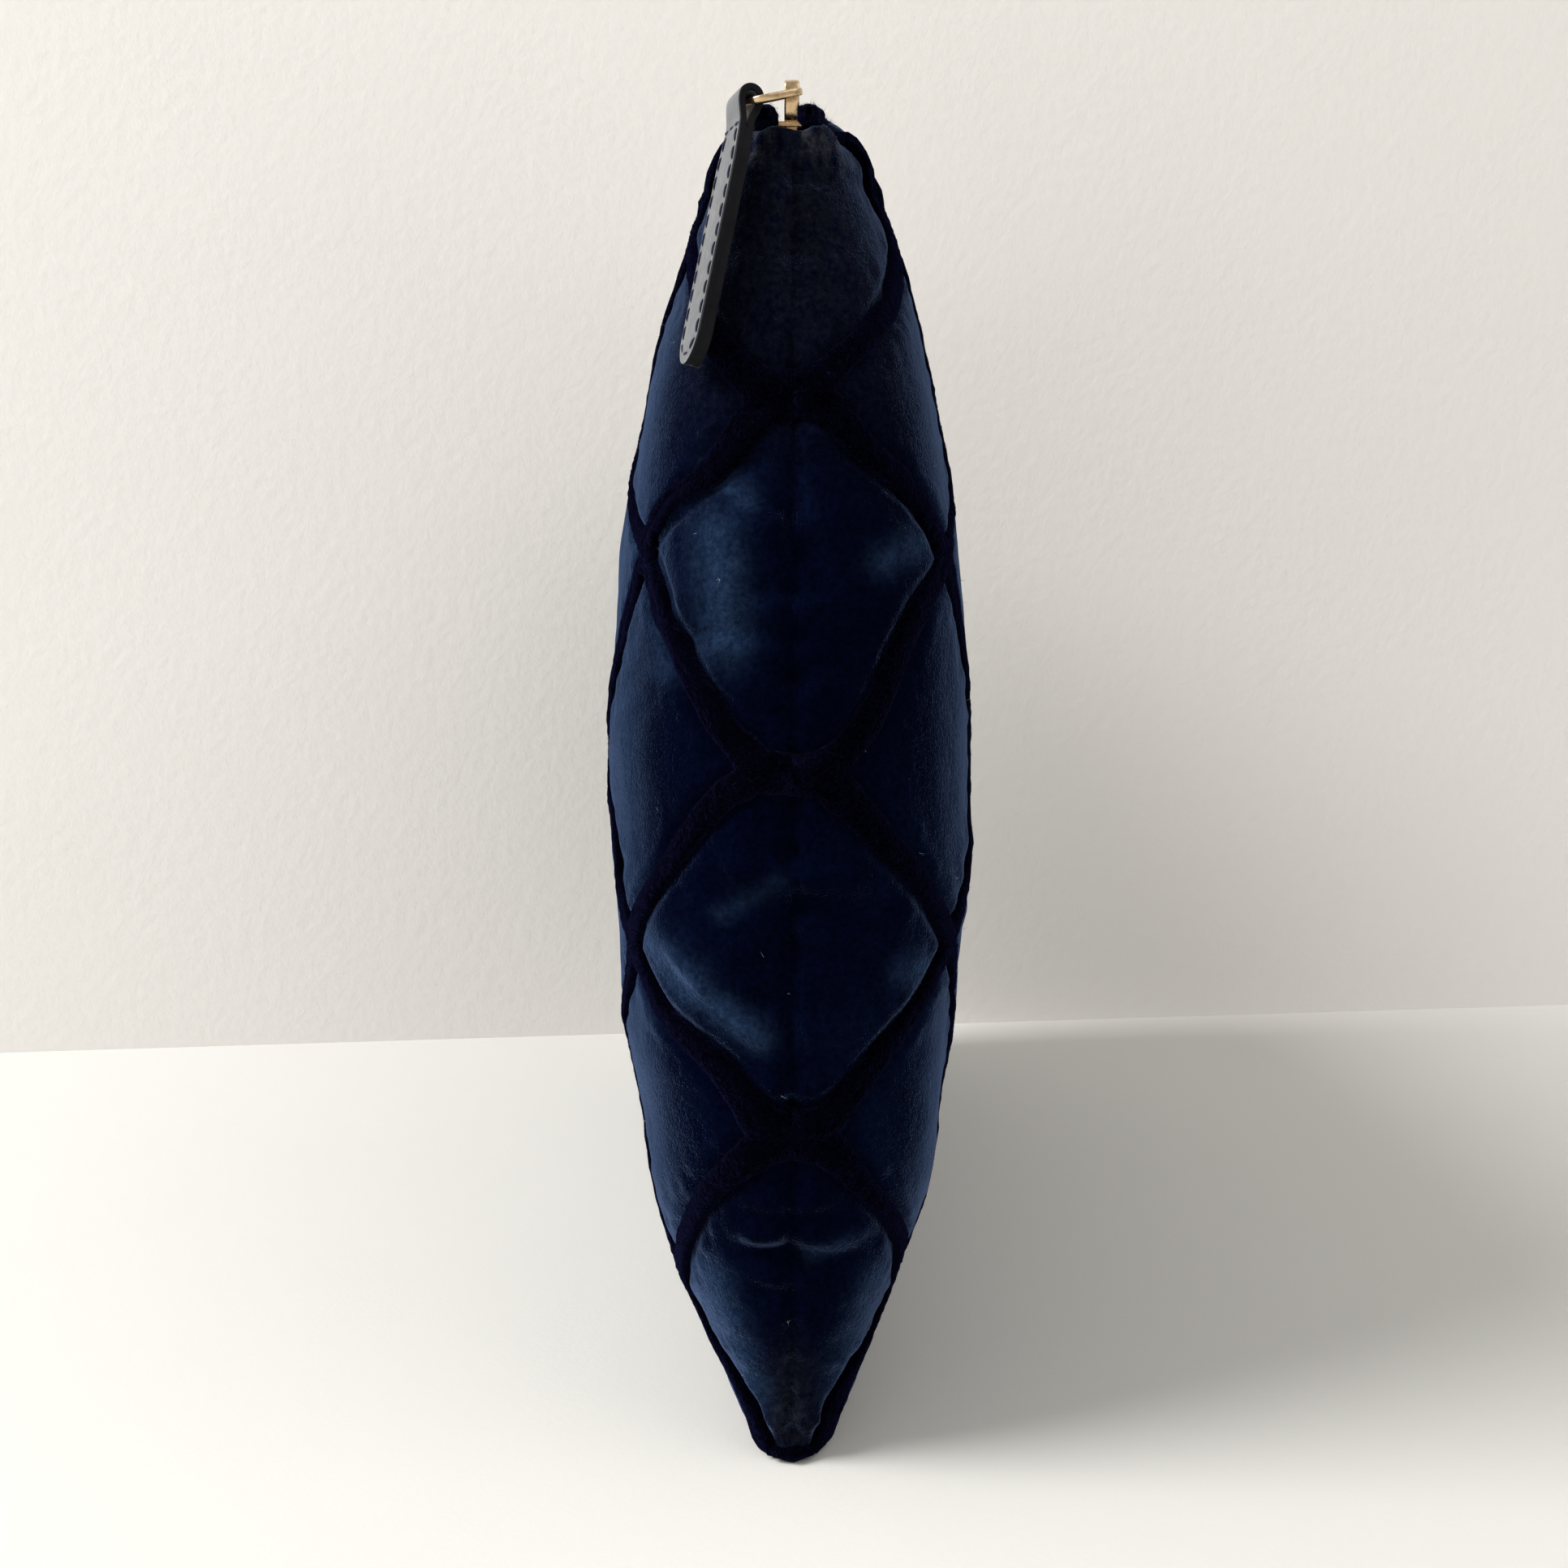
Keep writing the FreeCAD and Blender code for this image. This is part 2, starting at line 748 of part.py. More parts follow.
def pull_strap():
    """Leather folded over the ring: a loop at the top, then two plies stitched together down to a round end."""
    body = new_body("pull_strap")
    loop = new_sketch(body, "YZ_Plane")
    circle(loop, "loop_radius")
    pad(body, loop, "pull_width")
    tail = new_sketch(body, "YZ_Plane")
    outline(tail, (
        ("-pull_thickness / 2", "-pull_length"),
        ("pull_thickness / 2", "-pull_length"),
        ("pull_thickness / 2", "-loop_drop"),
        ("loop_radius - 0.05", "-0.5"),
        ("-loop_radius + 0.05", "-0.5"),
        ("-pull_thickness / 2", "-loop_drop"),
    ))
    pad(body, tail, "pull_width")
    hole = new_sketch(body, "YZ_Plane")
    circle(hole, "loop_hole")
    pocket(body, hole, "pull_width + 2")
    outside = new_sketch(body, "XZ_Plane")
    outline(outside, (
        ("-pull_width", "-pull_length - 5"), ("pull_width", "-pull_length - 5"),
        ("pull_width", "loop_radius + 5"), ("-pull_width", "loop_radius + 5"),
    ))
    outline(outside, (
        ("-pull_width / 2", "-pull_length - 1"), ("pull_width / 2", "-pull_length - 1"),
        ("pull_width / 2", "-loop_drop - 6"), ("pull_neck / 2", "-1"),
        ("pull_neck / 2", "loop_radius + 1"), ("-pull_neck / 2", "loop_radius + 1"),
        ("-pull_neck / 2", "-1"), ("-pull_width / 2", "-loop_drop - 6"),
    ))
    shaped = pocket(body, outside, "4 * loop_radius")
    bottom = -size("pull_length")

    def end_corner(edge):
        return runs_along(edge, Vector(0, 1, 0)) and abs(edge.CenterOfMass.z - bottom) < 0.01

    round_edges(body, shaped, "pull_width / 2 - 0.15", end_corner)
    place(body, pull_pivot(), pull_turn())
    return body


def stitch(position, heading):
    """One stitch across both faces of the leather: a short bar on each."""
    half = size("pull_thickness") / 2
    depth = size("stitch_proud") + size("stitch_sunk")
    bars = []
    for face in (-half - size("stitch_proud"), half - size("stitch_sunk")):
        bar = Part.makeBox(size("stitch_length"), depth, size("stitch_width"))
        bar.translate(Vector(-size("stitch_length") / 2, face, -size("stitch_width") / 2))
        bar.rotate(Vector(), Vector(0, 1, 0), heading)
        bar.translate(Vector(position[0], 0, position[1]))
        bars.append(bar)
    return bars


def stitch_route():
    """Where the stitches lie: down one edge, round the end, up the other edge, and one row across the fold."""
    side = size("pull_width") / 2 - size("stitch_inset")
    top = -size("loop_drop") - 7
    low = -size("pull_length") + size("pull_width") / 2
    pitch = size("stitch_pitch")
    count = int((top - low) / pitch) + 1
    route = []
    for x in (-side, side):
        route += [((x, top - i * pitch), 90) for i in range(count)]
    for turn in (210, 270, 330):
        angle = math.radians(turn)
        route.append(((side * math.cos(angle), low + side * math.sin(angle)), -(turn + 90)))
    for x in (-pitch / 2 - 0.1, pitch / 2 + 0.1):
        route.append(((x, -size("loop_drop") - 1.5), 0))
    return route


def pull_stitching():
    thread = doc.addObject("Part::Feature", "pull_stitching")
    thread.Label = "pull_stitching"
    bars = [bar for position, heading in stitch_route() for bar in stitch(position, heading)]
    thread.Shape = Part.makeCompound(bars)
    place(thread, pull_pivot(), pull_turn())
    return thread


nodes = [
    *velvet,
    *padding,
    *lining,
    *trim,
    *lips,
    teeth_front,
    teeth_back,
    top_stops,
    bottom_stop,
    slider_body(),
    slider_crown(),
    pull_ring(),
    pull_strap(),
    pull_stitching(),
]
doc.recompute()

for thing in doc.Objects:
    if "Invalid" in thing.State or "Error" in thing.State:
        raise RuntimeError(f"{thing.Label} failed: {thing.State}")
os.makedirs("parts", exist_ok=True)
for node in nodes:
    shape = node.Shape
    if shape.isNull() or not shape.isValid() or not shape.Solids:
        raise RuntimeError(f"{node.Label} has no valid solid")
for node in nodes:
    node.Shape.exportStep(f"parts/{node.Label}.step")
    bounds = node.Shape.BoundBox
    print(
        f"{node.Label:18s} solids {len(node.Shape.Solids):3d}  volume {node.Shape.Volume:10.1f}"
        f"  x {bounds.XMin:7.1f} {bounds.XMax:7.1f}  y {bounds.YMin:6.1f} {bounds.YMax:6.1f}"
        f"  z {bounds.ZMin:6.1f} {bounds.ZMax:6.1f}"
    )
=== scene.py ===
import json
import math

import bmesh
import bpy
import numpy as np
from mathutils import Matrix, Vector


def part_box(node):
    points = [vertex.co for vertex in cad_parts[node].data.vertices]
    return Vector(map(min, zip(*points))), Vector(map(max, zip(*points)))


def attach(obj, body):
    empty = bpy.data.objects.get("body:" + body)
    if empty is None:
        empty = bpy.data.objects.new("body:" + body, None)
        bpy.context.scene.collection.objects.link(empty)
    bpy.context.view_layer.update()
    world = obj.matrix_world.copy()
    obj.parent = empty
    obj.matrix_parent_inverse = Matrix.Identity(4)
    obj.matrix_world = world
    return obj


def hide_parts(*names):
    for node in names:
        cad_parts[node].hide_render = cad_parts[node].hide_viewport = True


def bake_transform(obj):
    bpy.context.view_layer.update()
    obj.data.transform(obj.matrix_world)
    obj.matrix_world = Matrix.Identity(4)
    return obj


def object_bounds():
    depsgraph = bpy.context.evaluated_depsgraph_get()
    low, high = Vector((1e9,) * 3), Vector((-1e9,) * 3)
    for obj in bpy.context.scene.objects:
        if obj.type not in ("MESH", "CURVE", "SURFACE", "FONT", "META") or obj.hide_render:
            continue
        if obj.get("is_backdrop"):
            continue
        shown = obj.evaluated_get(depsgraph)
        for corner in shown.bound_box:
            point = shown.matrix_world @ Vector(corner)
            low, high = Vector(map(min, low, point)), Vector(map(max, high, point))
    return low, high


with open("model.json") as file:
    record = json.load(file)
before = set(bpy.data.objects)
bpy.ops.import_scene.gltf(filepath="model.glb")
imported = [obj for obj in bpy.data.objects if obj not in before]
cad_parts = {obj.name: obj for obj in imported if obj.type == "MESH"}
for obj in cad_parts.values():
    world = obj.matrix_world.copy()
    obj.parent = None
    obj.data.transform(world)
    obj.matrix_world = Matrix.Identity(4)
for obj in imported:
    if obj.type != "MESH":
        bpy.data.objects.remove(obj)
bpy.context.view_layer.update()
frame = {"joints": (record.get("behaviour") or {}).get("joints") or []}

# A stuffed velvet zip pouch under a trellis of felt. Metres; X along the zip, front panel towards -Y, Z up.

MM = 0.001
rng = np.random.default_rng(7)

# Sizes --------------------------------------------------------------------------------------------

velvet_low, velvet_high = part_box("velvet_front")
tape_low, tape_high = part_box("tape_front")
roll_low, roll_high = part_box("lip_trim_front")
slider_low, slider_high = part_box("slider_body")
crown_low, crown_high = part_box("slider_crown")

HALF_LENGTH = velvet_high.x
HALF_THICKNESS = -velvet_low.y
CORNER_LEVEL = velvet_high.z
BODY_HEIGHT = CORNER_LEVEL + 6.2 * MM
HALF_BASE = 7.6 * MM
END_RECESS = 10.5 * MM
PLAN_POWER = 7
PLAN_CROWDING = 3.15
SIDE_POWER = 0.64
MOUTH_LEVEL = 205 * MM
LIP_EDGE = -roll_high.y + 0.3 * MM
MOUTH_END = roll_high.x
TOP_RUN = 18 * MM
ZIP_LOW = 208.2 * MM

ROW = 57 * MM
COLUMN = 62 * MM
SEAM_OFFSET = 3.5 * MM
SEAM_NODE_HALF = 4.8 * MM
NODE_HALF = 3.3 * MM
OPENING_POWER = 1.04
PANEL_WIDTH = 5 * COLUMN + 2 * SEAM_OFFSET
AROUND = 2 * PANEL_WIDTH
FELT_THICKNESS = 1.25 * MM

COLUMNS = 208
BODY_ROWS = 70
TOP_ROWS = 10
FINER = 4
SLACK = 0.012
PUFF_LIMIT = 2.4 * MM
ZIP_DROP = 2.4 * MM
TAPE_TRIM = 1.5 * MM
TOOTH_PITCH = 2.2 * MM
TOOTH_LENGTH = 1.0 * MM
ROLL_PAST = 11 * MM


# Small tools --------------------------------------------------------------------------------------


def smooth(value, low, high):
    """0 below low, 1 above high, and an S curve between."""
    t = np.clip((value - low) / (high - low), 0, 1)
    return t * t * (3 - 2 * t)


def waves(u, v, length, seed, count=14):
    """Smooth noise about zero from waves in all directions, all near one wavelength."""
    draw = np.random.default_rng(seed)
    total = np.zeros(np.broadcast(u, v).shape)
    for _ in range(count):
        turn = draw.uniform(0, math.pi)
        reach = length * draw.uniform(0.7, 1.6)
        phase = draw.uniform(0, 2 * math.pi)
        total += np.sin(2 * math.pi * (u * math.cos(turn) + v * math.sin(turn)) / reach + phase)
    return total / math.sqrt(count / 2)


def new_object(name, points, faces, material=None, smooth_shading=True):
    mesh = bpy.data.meshes.new(name)
    mesh.from_pydata([tuple(p) for p in points], [], [tuple(int(i) for i in f) for f in faces])
    mesh.update()
    made = bpy.data.objects.new(name, mesh)
    bpy.context.scene.collection.objects.link(made)
    if material:
        mesh.materials.append(material)
    if smooth_shading:
        mesh.shade_smooth()
    return made


def grid_faces(rows, columns, wrap=False):
    """Quads of a grid of points, row by row."""
    last = columns if wrap else columns - 1
    r, c = np.meshgrid(np.arange(rows - 1), np.arange(last), indexing="ij")
    near = (r * columns + c).ravel()
    far = (r * columns + (c + 1) % columns).ravel()
    return np.stack([near, far, far + columns, near + columns], 1)


def capped_faces(rows, columns):
    """Faces of a closed tube of rings, row by row, with a cap at each end."""
    last = (rows - 1) * columns
    caps = [list(range(columns)), list(range(last, last + columns))]
    return grid_faces(rows, columns, wrap=True).tolist() + caps


def join(points, faces, more_points, more_faces):
    """Adds a part's points and faces to the lists of a mesh."""
    faces += [[k + len(points) for k in face] for face in more_faces]
    points += more_points


def mesh_points(mesh):
    places = np.zeros(len(mesh.vertices) * 3)
    mesh.vertices.foreach_get("co", places)
    return places.reshape(-1, 3)


def running(x, y):
    """The length along a line up to each of its points."""
    return np.concatenate([[0], np.cumsum(np.hypot(np.diff(x), np.diff(y)))])


def signed_power(value, power):
    return np.sign(value) * np.abs(value) ** power


def tidy_mesh(obj, distance=0.02 * MM):
    """Turns the faces outwards, after merging points closer than the distance, if there is one."""
    work = bmesh.new()
    work.from_mesh(obj.data)
    if distance:
        bmesh.ops.remove_doubles(work, verts=work.verts, dist=distance)
        bmesh.ops.dissolve_degenerate(work, edges=work.edges, dist=distance / 4)
    bmesh.ops.recalc_face_normals(work, faces=work.faces)
    work.to_mesh(obj.data)
    work.free()
    obj.data.shade_smooth()


def grid_normals(points):
    """Unit normals of a ring of points whose columns close on themselves."""
    across = np.roll(points, -1, 1) - np.roll(points, 1, 1)
    up = np.gradient(points, axis=0)
    normals = np.cross(up, across)
    length = np.linalg.norm(normals, axis=2, keepdims=True)
    return normals / np.maximum(length, 1e-12)


def apply_modifiers(obj):
    """The object's mesh as its modifiers leave it."""
    graph = bpy.context.evaluated_depsgraph_get()
    final = bpy.data.meshes.new_from_object(obj.evaluated_get(graph))
    obj.modifiers.clear()
    obj.data = final


# Materials ----------------------------------------------------------------------------------------


class Nodes:
    """A short way to write a material's node tree."""

    def __init__(self, name, **sockets):
        self.material = bpy.data.materials.new(name)
        self.material.use_nodes = True
        self.tree = self.material.node_tree
        self.shader = self.tree.nodes["Principled BSDF"]
        for socket, value in sockets.items():
            self.shader.inputs[socket.replace("_", " ")].default_value = value
        self.coordinates = self.add("ShaderNodeTexCoord").outputs["Object"]

    def add(self, kind, **settings):
        node = self.tree.nodes.new(kind)
        for name, value in settings.items():
            setattr(node, name, value)
        return node

    def link(self, out, socket):
        self.tree.links.new(out, socket)

    def noise(self, scale, detail=3.0, roughness=0.5, stretch=None, distortion=0.0):
        node = self.add("ShaderNodeTexNoise")
        node.inputs["Scale"].default_value = scale
        node.inputs["Detail"].default_value = detail
        node.inputs["Roughness"].default_value = roughness
        node.inputs["Distortion"].default_value = distortion
        source = self.coordinates
        if stretch:
            mapping = self.add("ShaderNodeMapping")
            mapping.inputs["Scale"].default_value = stretch
            self.link(source, mapping.inputs["Vector"])
            source = mapping.outputs["Vector"]
        self.link(source, node.inputs["Vector"])
        return node.outputs["Fac"]

    def ramp(self, factor, stops):
        node = self.add("ShaderNodeValToRGB")
        ramp = node.color_ramp
        while len(ramp.elements) < len(stops):
            ramp.elements.new(0.5)
        for element, (position, colour) in zip(ramp.elements, stops):
            element.position = position
            element.color = (*colour, 1) if len(colour) == 3 else colour
        self.link(factor, node.inputs["Fac"])
        return node.outputs["Color"]

    def mix(self, factor, a, b, blend="MIX"):
        node = self.add("ShaderNodeMix", data_type="RGBA", blend_type=blend)
        for value, socket in ((factor, node.inputs[0]), (a, node.inputs[6]), (b, node.inputs[7])):
            if isinstance(value, (int, float)):
                socket.default_value = value
            elif isinstance(value, tuple):
                socket.default_value = (*value, 1)
            else:
                self.link(value, socket)
        return node.outputs[2]

    def maths(self, operation, a, b=0.0):
        node = self.add("ShaderNodeMath", operation=operation)
        for value, socket in ((a, node.inputs[0]), (b, node.inputs[1])):
            if isinstance(value, (int, float)):
                socket.default_value = value
            else:
                self.link(value, socket)
        return node.outputs[0]

    def attribute(self, name):
        return self.add("ShaderNodeAttribute", attribute_name=name).outputs["Fac"]

    def bump(self, height, strength, distance, below=None):
        node = self.add("ShaderNodeBump")
        node.inputs["Strength"].default_value = strength
        node.inputs["Distance"].default_value = distance
        self.link(height, node.inputs["Height"])
        if below is not None:
            self.link(below, node.inputs["Normal"])
        return node.outputs["Normal"]

    def finish(self, colour=None, roughness=None, normal=None):
        for value, socket in ((colour, "Base Color"), (roughness, "Roughness"), (normal, "Normal")):
            if value is not None:
                self.link(value, self.shader.inputs[socket])
        return self.material


def velvet_material():
    """Cut pile: dark where it is looked into, pale at a glancing angle, with rubbed patches and painted sheen:
    patches and sides painted lighter where light catches the pile.
    """
    m = Nodes(
        "velvet", Roughness=0.9, Specular_IOR_Level=0.0, Sheen_Weight=1.0, Sheen_Roughness=0.21,
        Sheen_Tint=(0.19, 0.28, 0.52, 1),
    )
    brushed = m.noise(38, 4, 0.62, (1, 1, 0.6), 0.4)
    colour = m.ramp(brushed, [(0.3, (0.0003, 0.0005, 0.0048)), (0.55, (0.0008, 0.0018, 0.0105)),
                              (0.78, (0.0036, 0.0088, 0.030))])
    tufts = m.noise(2600, 2, 0.6)
    colour = m.mix(m.maths("MULTIPLY", tufts, 0.55), colour, (0.0020, 0.0045, 0.017))
    # Painted sheen: where this attribute marks it, the colour is mixed towards a lighter blue, as where light
    # catches the pile
    lit = m.maths("MULTIPLY", m.attribute("painted_sheen"),
                  m.ramp(m.noise(300, 5, 0.7), [(0.3, (0.35,) * 3), (0.7, (1, 1, 1))]))
    colour = m.mix(lit, colour, (0.021, 0.045, 0.100))
    worn = m.maths("MULTIPLY", m.attribute("wear"),
                   m.ramp(m.noise(800, 5, 0.7), [(0.32, (0, 0, 0)), (0.68, (1, 1, 1))]))
    colour = m.mix(worn, colour, (0.066, 0.072, 0.080))
    grain = m.noise(1000, 4, 0.75)
    colour = m.mix(1.0, colour, m.ramp(grain, [(0.35, (0.4, 0.4, 0.45)), (0.62, (1, 1, 1))]), "MULTIPLY")
    fine = m.bump(tufts, 0.5, 0.00035, m.bump(grain, 0.5, 0.0005))
    coarse = m.bump(m.noise(160, 4, 0.6), 0.22, 0.0012, fine)
    return m.finish(colour=colour, normal=coarse)


def felt_material():
    """Napped chenille felt, nearly black, with a violet cast at the edges."""
    m = Nodes(
        "felt", Roughness=0.95, Specular_IOR_Level=0.0, Sheen_Weight=0.4, Sheen_Roughness=0.2,
        Sheen_Tint=(0.04, 0.045, 0.18, 1),
    )
    curls = m.noise(1500, 3, 0.7, distortion=1.2)
    colour = m.ramp(curls, [(0.35, (0.0002, 0.0002, 0.0010)), (0.7, (0.0014, 0.0015, 0.0055))])
    loops = m.bump(curls, 0.9, 0.0007)
    lumps = m.bump(m.noise(420, 3, 0.6), 0.45, 0.0012, loops)
    return m.finish(colour=colour, normal=lumps)


def fuzz_material():
    """The loose ends of the felt, coloured many times lighter than the felt itself: a painted highlight for
    the light they catch.
    """
    m = Nodes("fuzz", Roughness=0.8, Specular_IOR_Level=0.1)
    # Painted highlight: a lighter copy of the felt's navy, so that the loose ends look lit
    colour = m.ramp(m.noise(600, 2), [(0.3, (0.006, 0.007, 0.026)), (0.7, (0.018, 0.020, 0.062))])
    return m.finish(colour=colour)


def lining_material():
    m = Nodes("lining", Roughness=0.45, Specular_IOR_Level=0.4, Sheen_Weight=0.3)
    m.shader.inputs["Sheen Tint"].default_value = (0.3, 0.35, 0.5, 1)
    weave = m.noise(1800, 2, 0.5, (1, 1, 0.25))
    colour = m.ramp(weave, [(0.3, (0.010, 0.013, 0.030)), (0.75, (0.020, 0.026, 0.055))])
    return m.finish(colour=colour, normal=m.bump(weave, 0.3, 0.0003))


def tape_material():
    m = Nodes("zip_tape", Roughness=0.85, Specular_IOR_Level=0.15)
    ribs = m.add("ShaderNodeTexWave", wave_type="BANDS", bands_direction="X")
    ribs.inputs["Scale"].default_value = 900
    ribs.inputs["Distortion"].default_value = 1.5
    ribs.inputs["Detail"].default_value = 2
    m.link(m.coordinates, ribs.inputs["Vector"])
    colour = m.ramp(ribs.outputs["Fac"], [(0.2, (0.004, 0.005, 0.014)), (0.8, (0.012, 0.014, 0.032))])
    return m.finish(colour=colour, normal=m.bump(ribs.outputs["Fac"], 0.5, 0.0002))


def gold_material():
    """Pale gold plating, handled: faint smears, fine scratches and rubbed tone."""
    m = Nodes("pale_gold", Metallic=1.0)
    smears = m.noise(700, 4, 0.6)
    colour = m.ramp(smears, [(0.3, (0.46, 0.31, 0.17)), (0.7, (0.70, 0.52, 0.32))])
    roughness = m.ramp(m.noise(1400, 3, 0.6), [(0.3, (0.14, 0.14, 0.14)), (0.75, (0.34, 0.34, 0.34))])
    scratches = m.noise(3000, 2, 0.6, (1, 6, 0.4))
    return m.finish(colour=colour, roughness=roughness, normal=m.bump(scratches, 0.12, 0.0001))


def leather_material(name, dark, light, roughness_low, roughness_high, wear):
    """Smooth pigmented leather with fine grain and creases; wear is the tone rubbed through at its edges."""
    m = Nodes(name, Specular_IOR_Level=0.45)
    tone = m.noise(260, 4, 0.6)
    colour = m.ramp(tone, [(0.3, dark), (0.7, light)])
    rubbed = m.maths("MULTIPLY", m.attribute("wear"),
                     m.ramp(m.noise(1900, 4, 0.7), [(0.5, (0, 0, 0)), (0.62, (1, 1, 1))]))
    colour = m.mix(rubbed, colour, wear)
    cells = m.add("ShaderNodeTexVoronoi", feature="DISTANCE_TO_EDGE")
    cells.inputs["Scale"].default_value = 1700
    m.link(m.coordinates, cells.inputs["Vector"])
    grain = m.bump(cells.outputs["Distance"], 0.25, 0.0002)
    creases = m.bump(m.noise(600, 5, 0.65, (1, 1, 0.5)), 0.25, 0.0003, grain)
    shine = m.ramp(m.noise(500, 3, 0.6), [(0.3, (roughness_low,) * 3), (0.7, (roughness_high,) * 3)])
    return m.finish(colour=colour, roughness=shine, normal=creases)


def thread_material():
    m = Nodes("thread", Roughness=0.6, Specular_IOR_Level=0.3)
    ply = m.noise(5200, 2, 0.6, (1, 1, 0.4))
    colour = m.ramp(ply, [(0.3, (0.006, 0.006, 0.022)), (0.7, (0.022, 0.022, 0.065))])
    return m.finish(colour=colour, normal=m.bump(ply, 0.6, 0.0002))


def lint_material():
    m = Nodes("lint", Roughness=0.8)
    colour = m.ramp(m.noise(900, 2), [(0.3, (0.20, 0.22, 0.24)), (0.7, (0.42, 0.45, 0.50))])
    return m.finish(colour=colour)


def wall_material(name, tone, bump_scale, strength):
    """Matt paint, with a faint roller texture."""
    m = Nodes(name, Roughness=0.8, Specular_IOR_Level=0.2)
    low = tuple(0.985 * part for part in tone)
    colour = m.ramp(m.noise(9, 3), [(0.3, low), (0.7, tone)])
    return m.finish(colour=colour, normal=m.bump(m.noise(bump_scale, 3, 0.55), strength, 0.0008))


velvet = velvet_material()
felt = felt_material()
fuzz = fuzz_material()
lining = lining_material()
tape = tape_material()
gold = gold_material()
leather = leather_material(
    "leather_face", (0.085, 0.091, 0.103), (0.128, 0.135, 0.147), 0.32, 0.5, (0.42, 0.45, 0.50))
edge_paint = leather_material(
    "leather_edge", (0.003, 0.0033, 0.005), (0.007, 0.0075, 0.010), 0.45, 0.65, (0.012, 0.012, 0.015))
edge_paint.node_tree.nodes["Principled BSDF"].inputs["Specular IOR Level"].default_value = 0.1
thread = thread_material()
lint = lint_material()


# The stuffed shape --------------------------------------------------------------------------------


def rise(level):
    """How far up the body a level is, from -1 at its foot to 1 above its top."""
    return np.clip(2 * level / BODY_HEIGHT - 1, -1, 1)


def half_width(level):
    return HALF_BASE + (HALF_THICKNESS - HALF_BASE) * (1 - rise(level) ** 2) ** SIDE_POWER


def half_length(level):
    return HALF_LENGTH - END_RECESS * rise(level) ** 2


def level_curve(level, along):
    """x and y round the pouch at one level; along runs from the +X seam over the front panel and back."""
    turn = np.linspace(0, math.pi, 721)
    part = signed_power(np.cos(turn), PLAN_CROWDING / PLAN_POWER)
    x = half_length(level) * part
    y = half_width(level) * np.sqrt(np.clip(1 - np.abs(part) ** PLAN_POWER, 0, 1))
    run = running(x, y)
    share = np.mod(along, AROUND) / PANEL_WIDTH
    back = share > 1
    share = np.where(back, 2 - share, share) * run[-1]
    return np.interp(share, run, x), np.interp(share, run, y) * np.where(back, 1, -1)


def body_levels(count):
    """Levels spaced evenly along the panel's side profile, from the foot to the mouth."""
    level = MOUTH_LEVEL * (1 - np.cos(np.linspace(0, math.pi, 900))) / 2
    width = half_width(level)
    run = running(level, width)
    return np.interp(np.linspace(0, run[-1], count), run, level)


def grid_rows(finer):
    """The v of each row: below 0 under the base, then the level, then the run over the lip."""
    under = np.linspace(-HALF_BASE, 0, 4)[:-1]
    over = MOUTH_LEVEL + TOP_RUN * np.linspace(0, 1, TOP_ROWS + 1)[1:]
    rows = np.concatenate([under, body_levels(BODY_ROWS), over])
    return np.interp(np.arange(0, len(rows) - 1 + 1e-9, 1 / finer), np.arange(len(rows)), rows)


LIP_RUN = (0, 0.22, 0.44, 0.62, 0.8, 0.93, 1)
LIP_OUT = (1, 0.90, 0.70, 0.45, 0.20, 0.0, 0.10)
LIP_RISE = (0, 4.2 * MM, 8.2 * MM, 10.9 * MM, 12.0 * MM, 11.8 * MM, 10.8 * MM)
ROOF_START = 0.42


def lip_row(q, x, y):
    """The panel's edge turning in over the zip, at a share q of its run."""
    side = np.sign(y)
    out = LIP_EDGE + (np.abs(y) - LIP_EDGE) * np.interp(q, LIP_RUN, LIP_OUT)
    return np.stack([x, side * out, np.full_like(x, MOUTH_LEVEL + np.interp(q, LIP_RUN, LIP_RISE))], -1)


def roof_row(q, along):
    """The closed corner beyond the mouth: up the end, then in over the top to the middle."""
    if q <= ROOF_START:
        level = MOUTH_LEVEL + (CORNER_LEVEL - MOUTH_LEVEL) * q / ROOF_START
        x, y = level_curve(level, along)
        return np.stack([x, y, np.full_like(x, level)], -1)
    part = (q - ROOF_START) / (1 - ROOF_START)
    x, y = level_curve(CORNER_LEVEL, along)
    y = y * (1 - part)
    lobe = 1.5 * MM * smooth(np.abs(y), 3.6 * MM, 5.2 * MM)
    return np.stack([x * (1 - 0.01 * part), y, np.full_like(x, CORNER_LEVEL) + lobe], -1)


def base_grid(rows, along):
    """The unpadded surface at every row and column."""
    points = np.zeros((len(rows), len(along), 3))
    foot_x, foot_y = level_curve(0.0, along)
    rim_x, rim_y = level_curve(MOUTH_LEVEL, along)
    closed = smooth(np.abs(rim_x), MOUTH_END - 1 * MM, MOUTH_END + 3 * MM)[:, None]
    for i, v in enumerate(rows):
        if v < 0:
            points[i] = np.stack([foot_x, foot_y * (1 + v / HALF_BASE), np.zeros_like(foot_x)], -1)
        elif v <= MOUTH_LEVEL:
            x, y = level_curve(v, along)
            points[i] = np.stack([x, y, np.full_like(x, v)], -1)
        else:
            q = (v - MOUTH_LEVEL) / TOP_RUN
            points[i] = (1 - closed) * lip_row(q, rim_x, rim_y) + closed * roof_row(q, along)
    return points


def soften_top(points, rows, rounds):
    """Rounds the creases of the lip and the roof; the last row and the panel below stay."""
    free = (smooth(rows, MOUTH_LEVEL - 3 * MM, MOUTH_LEVEL + 2 * MM) * (rows < rows[-1]))[:, None, None]
    for _ in range(rounds):
        around = (np.roll(points, 1, 1) + np.roll(points, -1, 1)) / 2
        above = points.copy()
        above[1:-1] = (points[:-2] + points[2:]) / 2
        points = points + free * 0.5 * ((0.3 * around + 0.7 * above) - points)
    return points


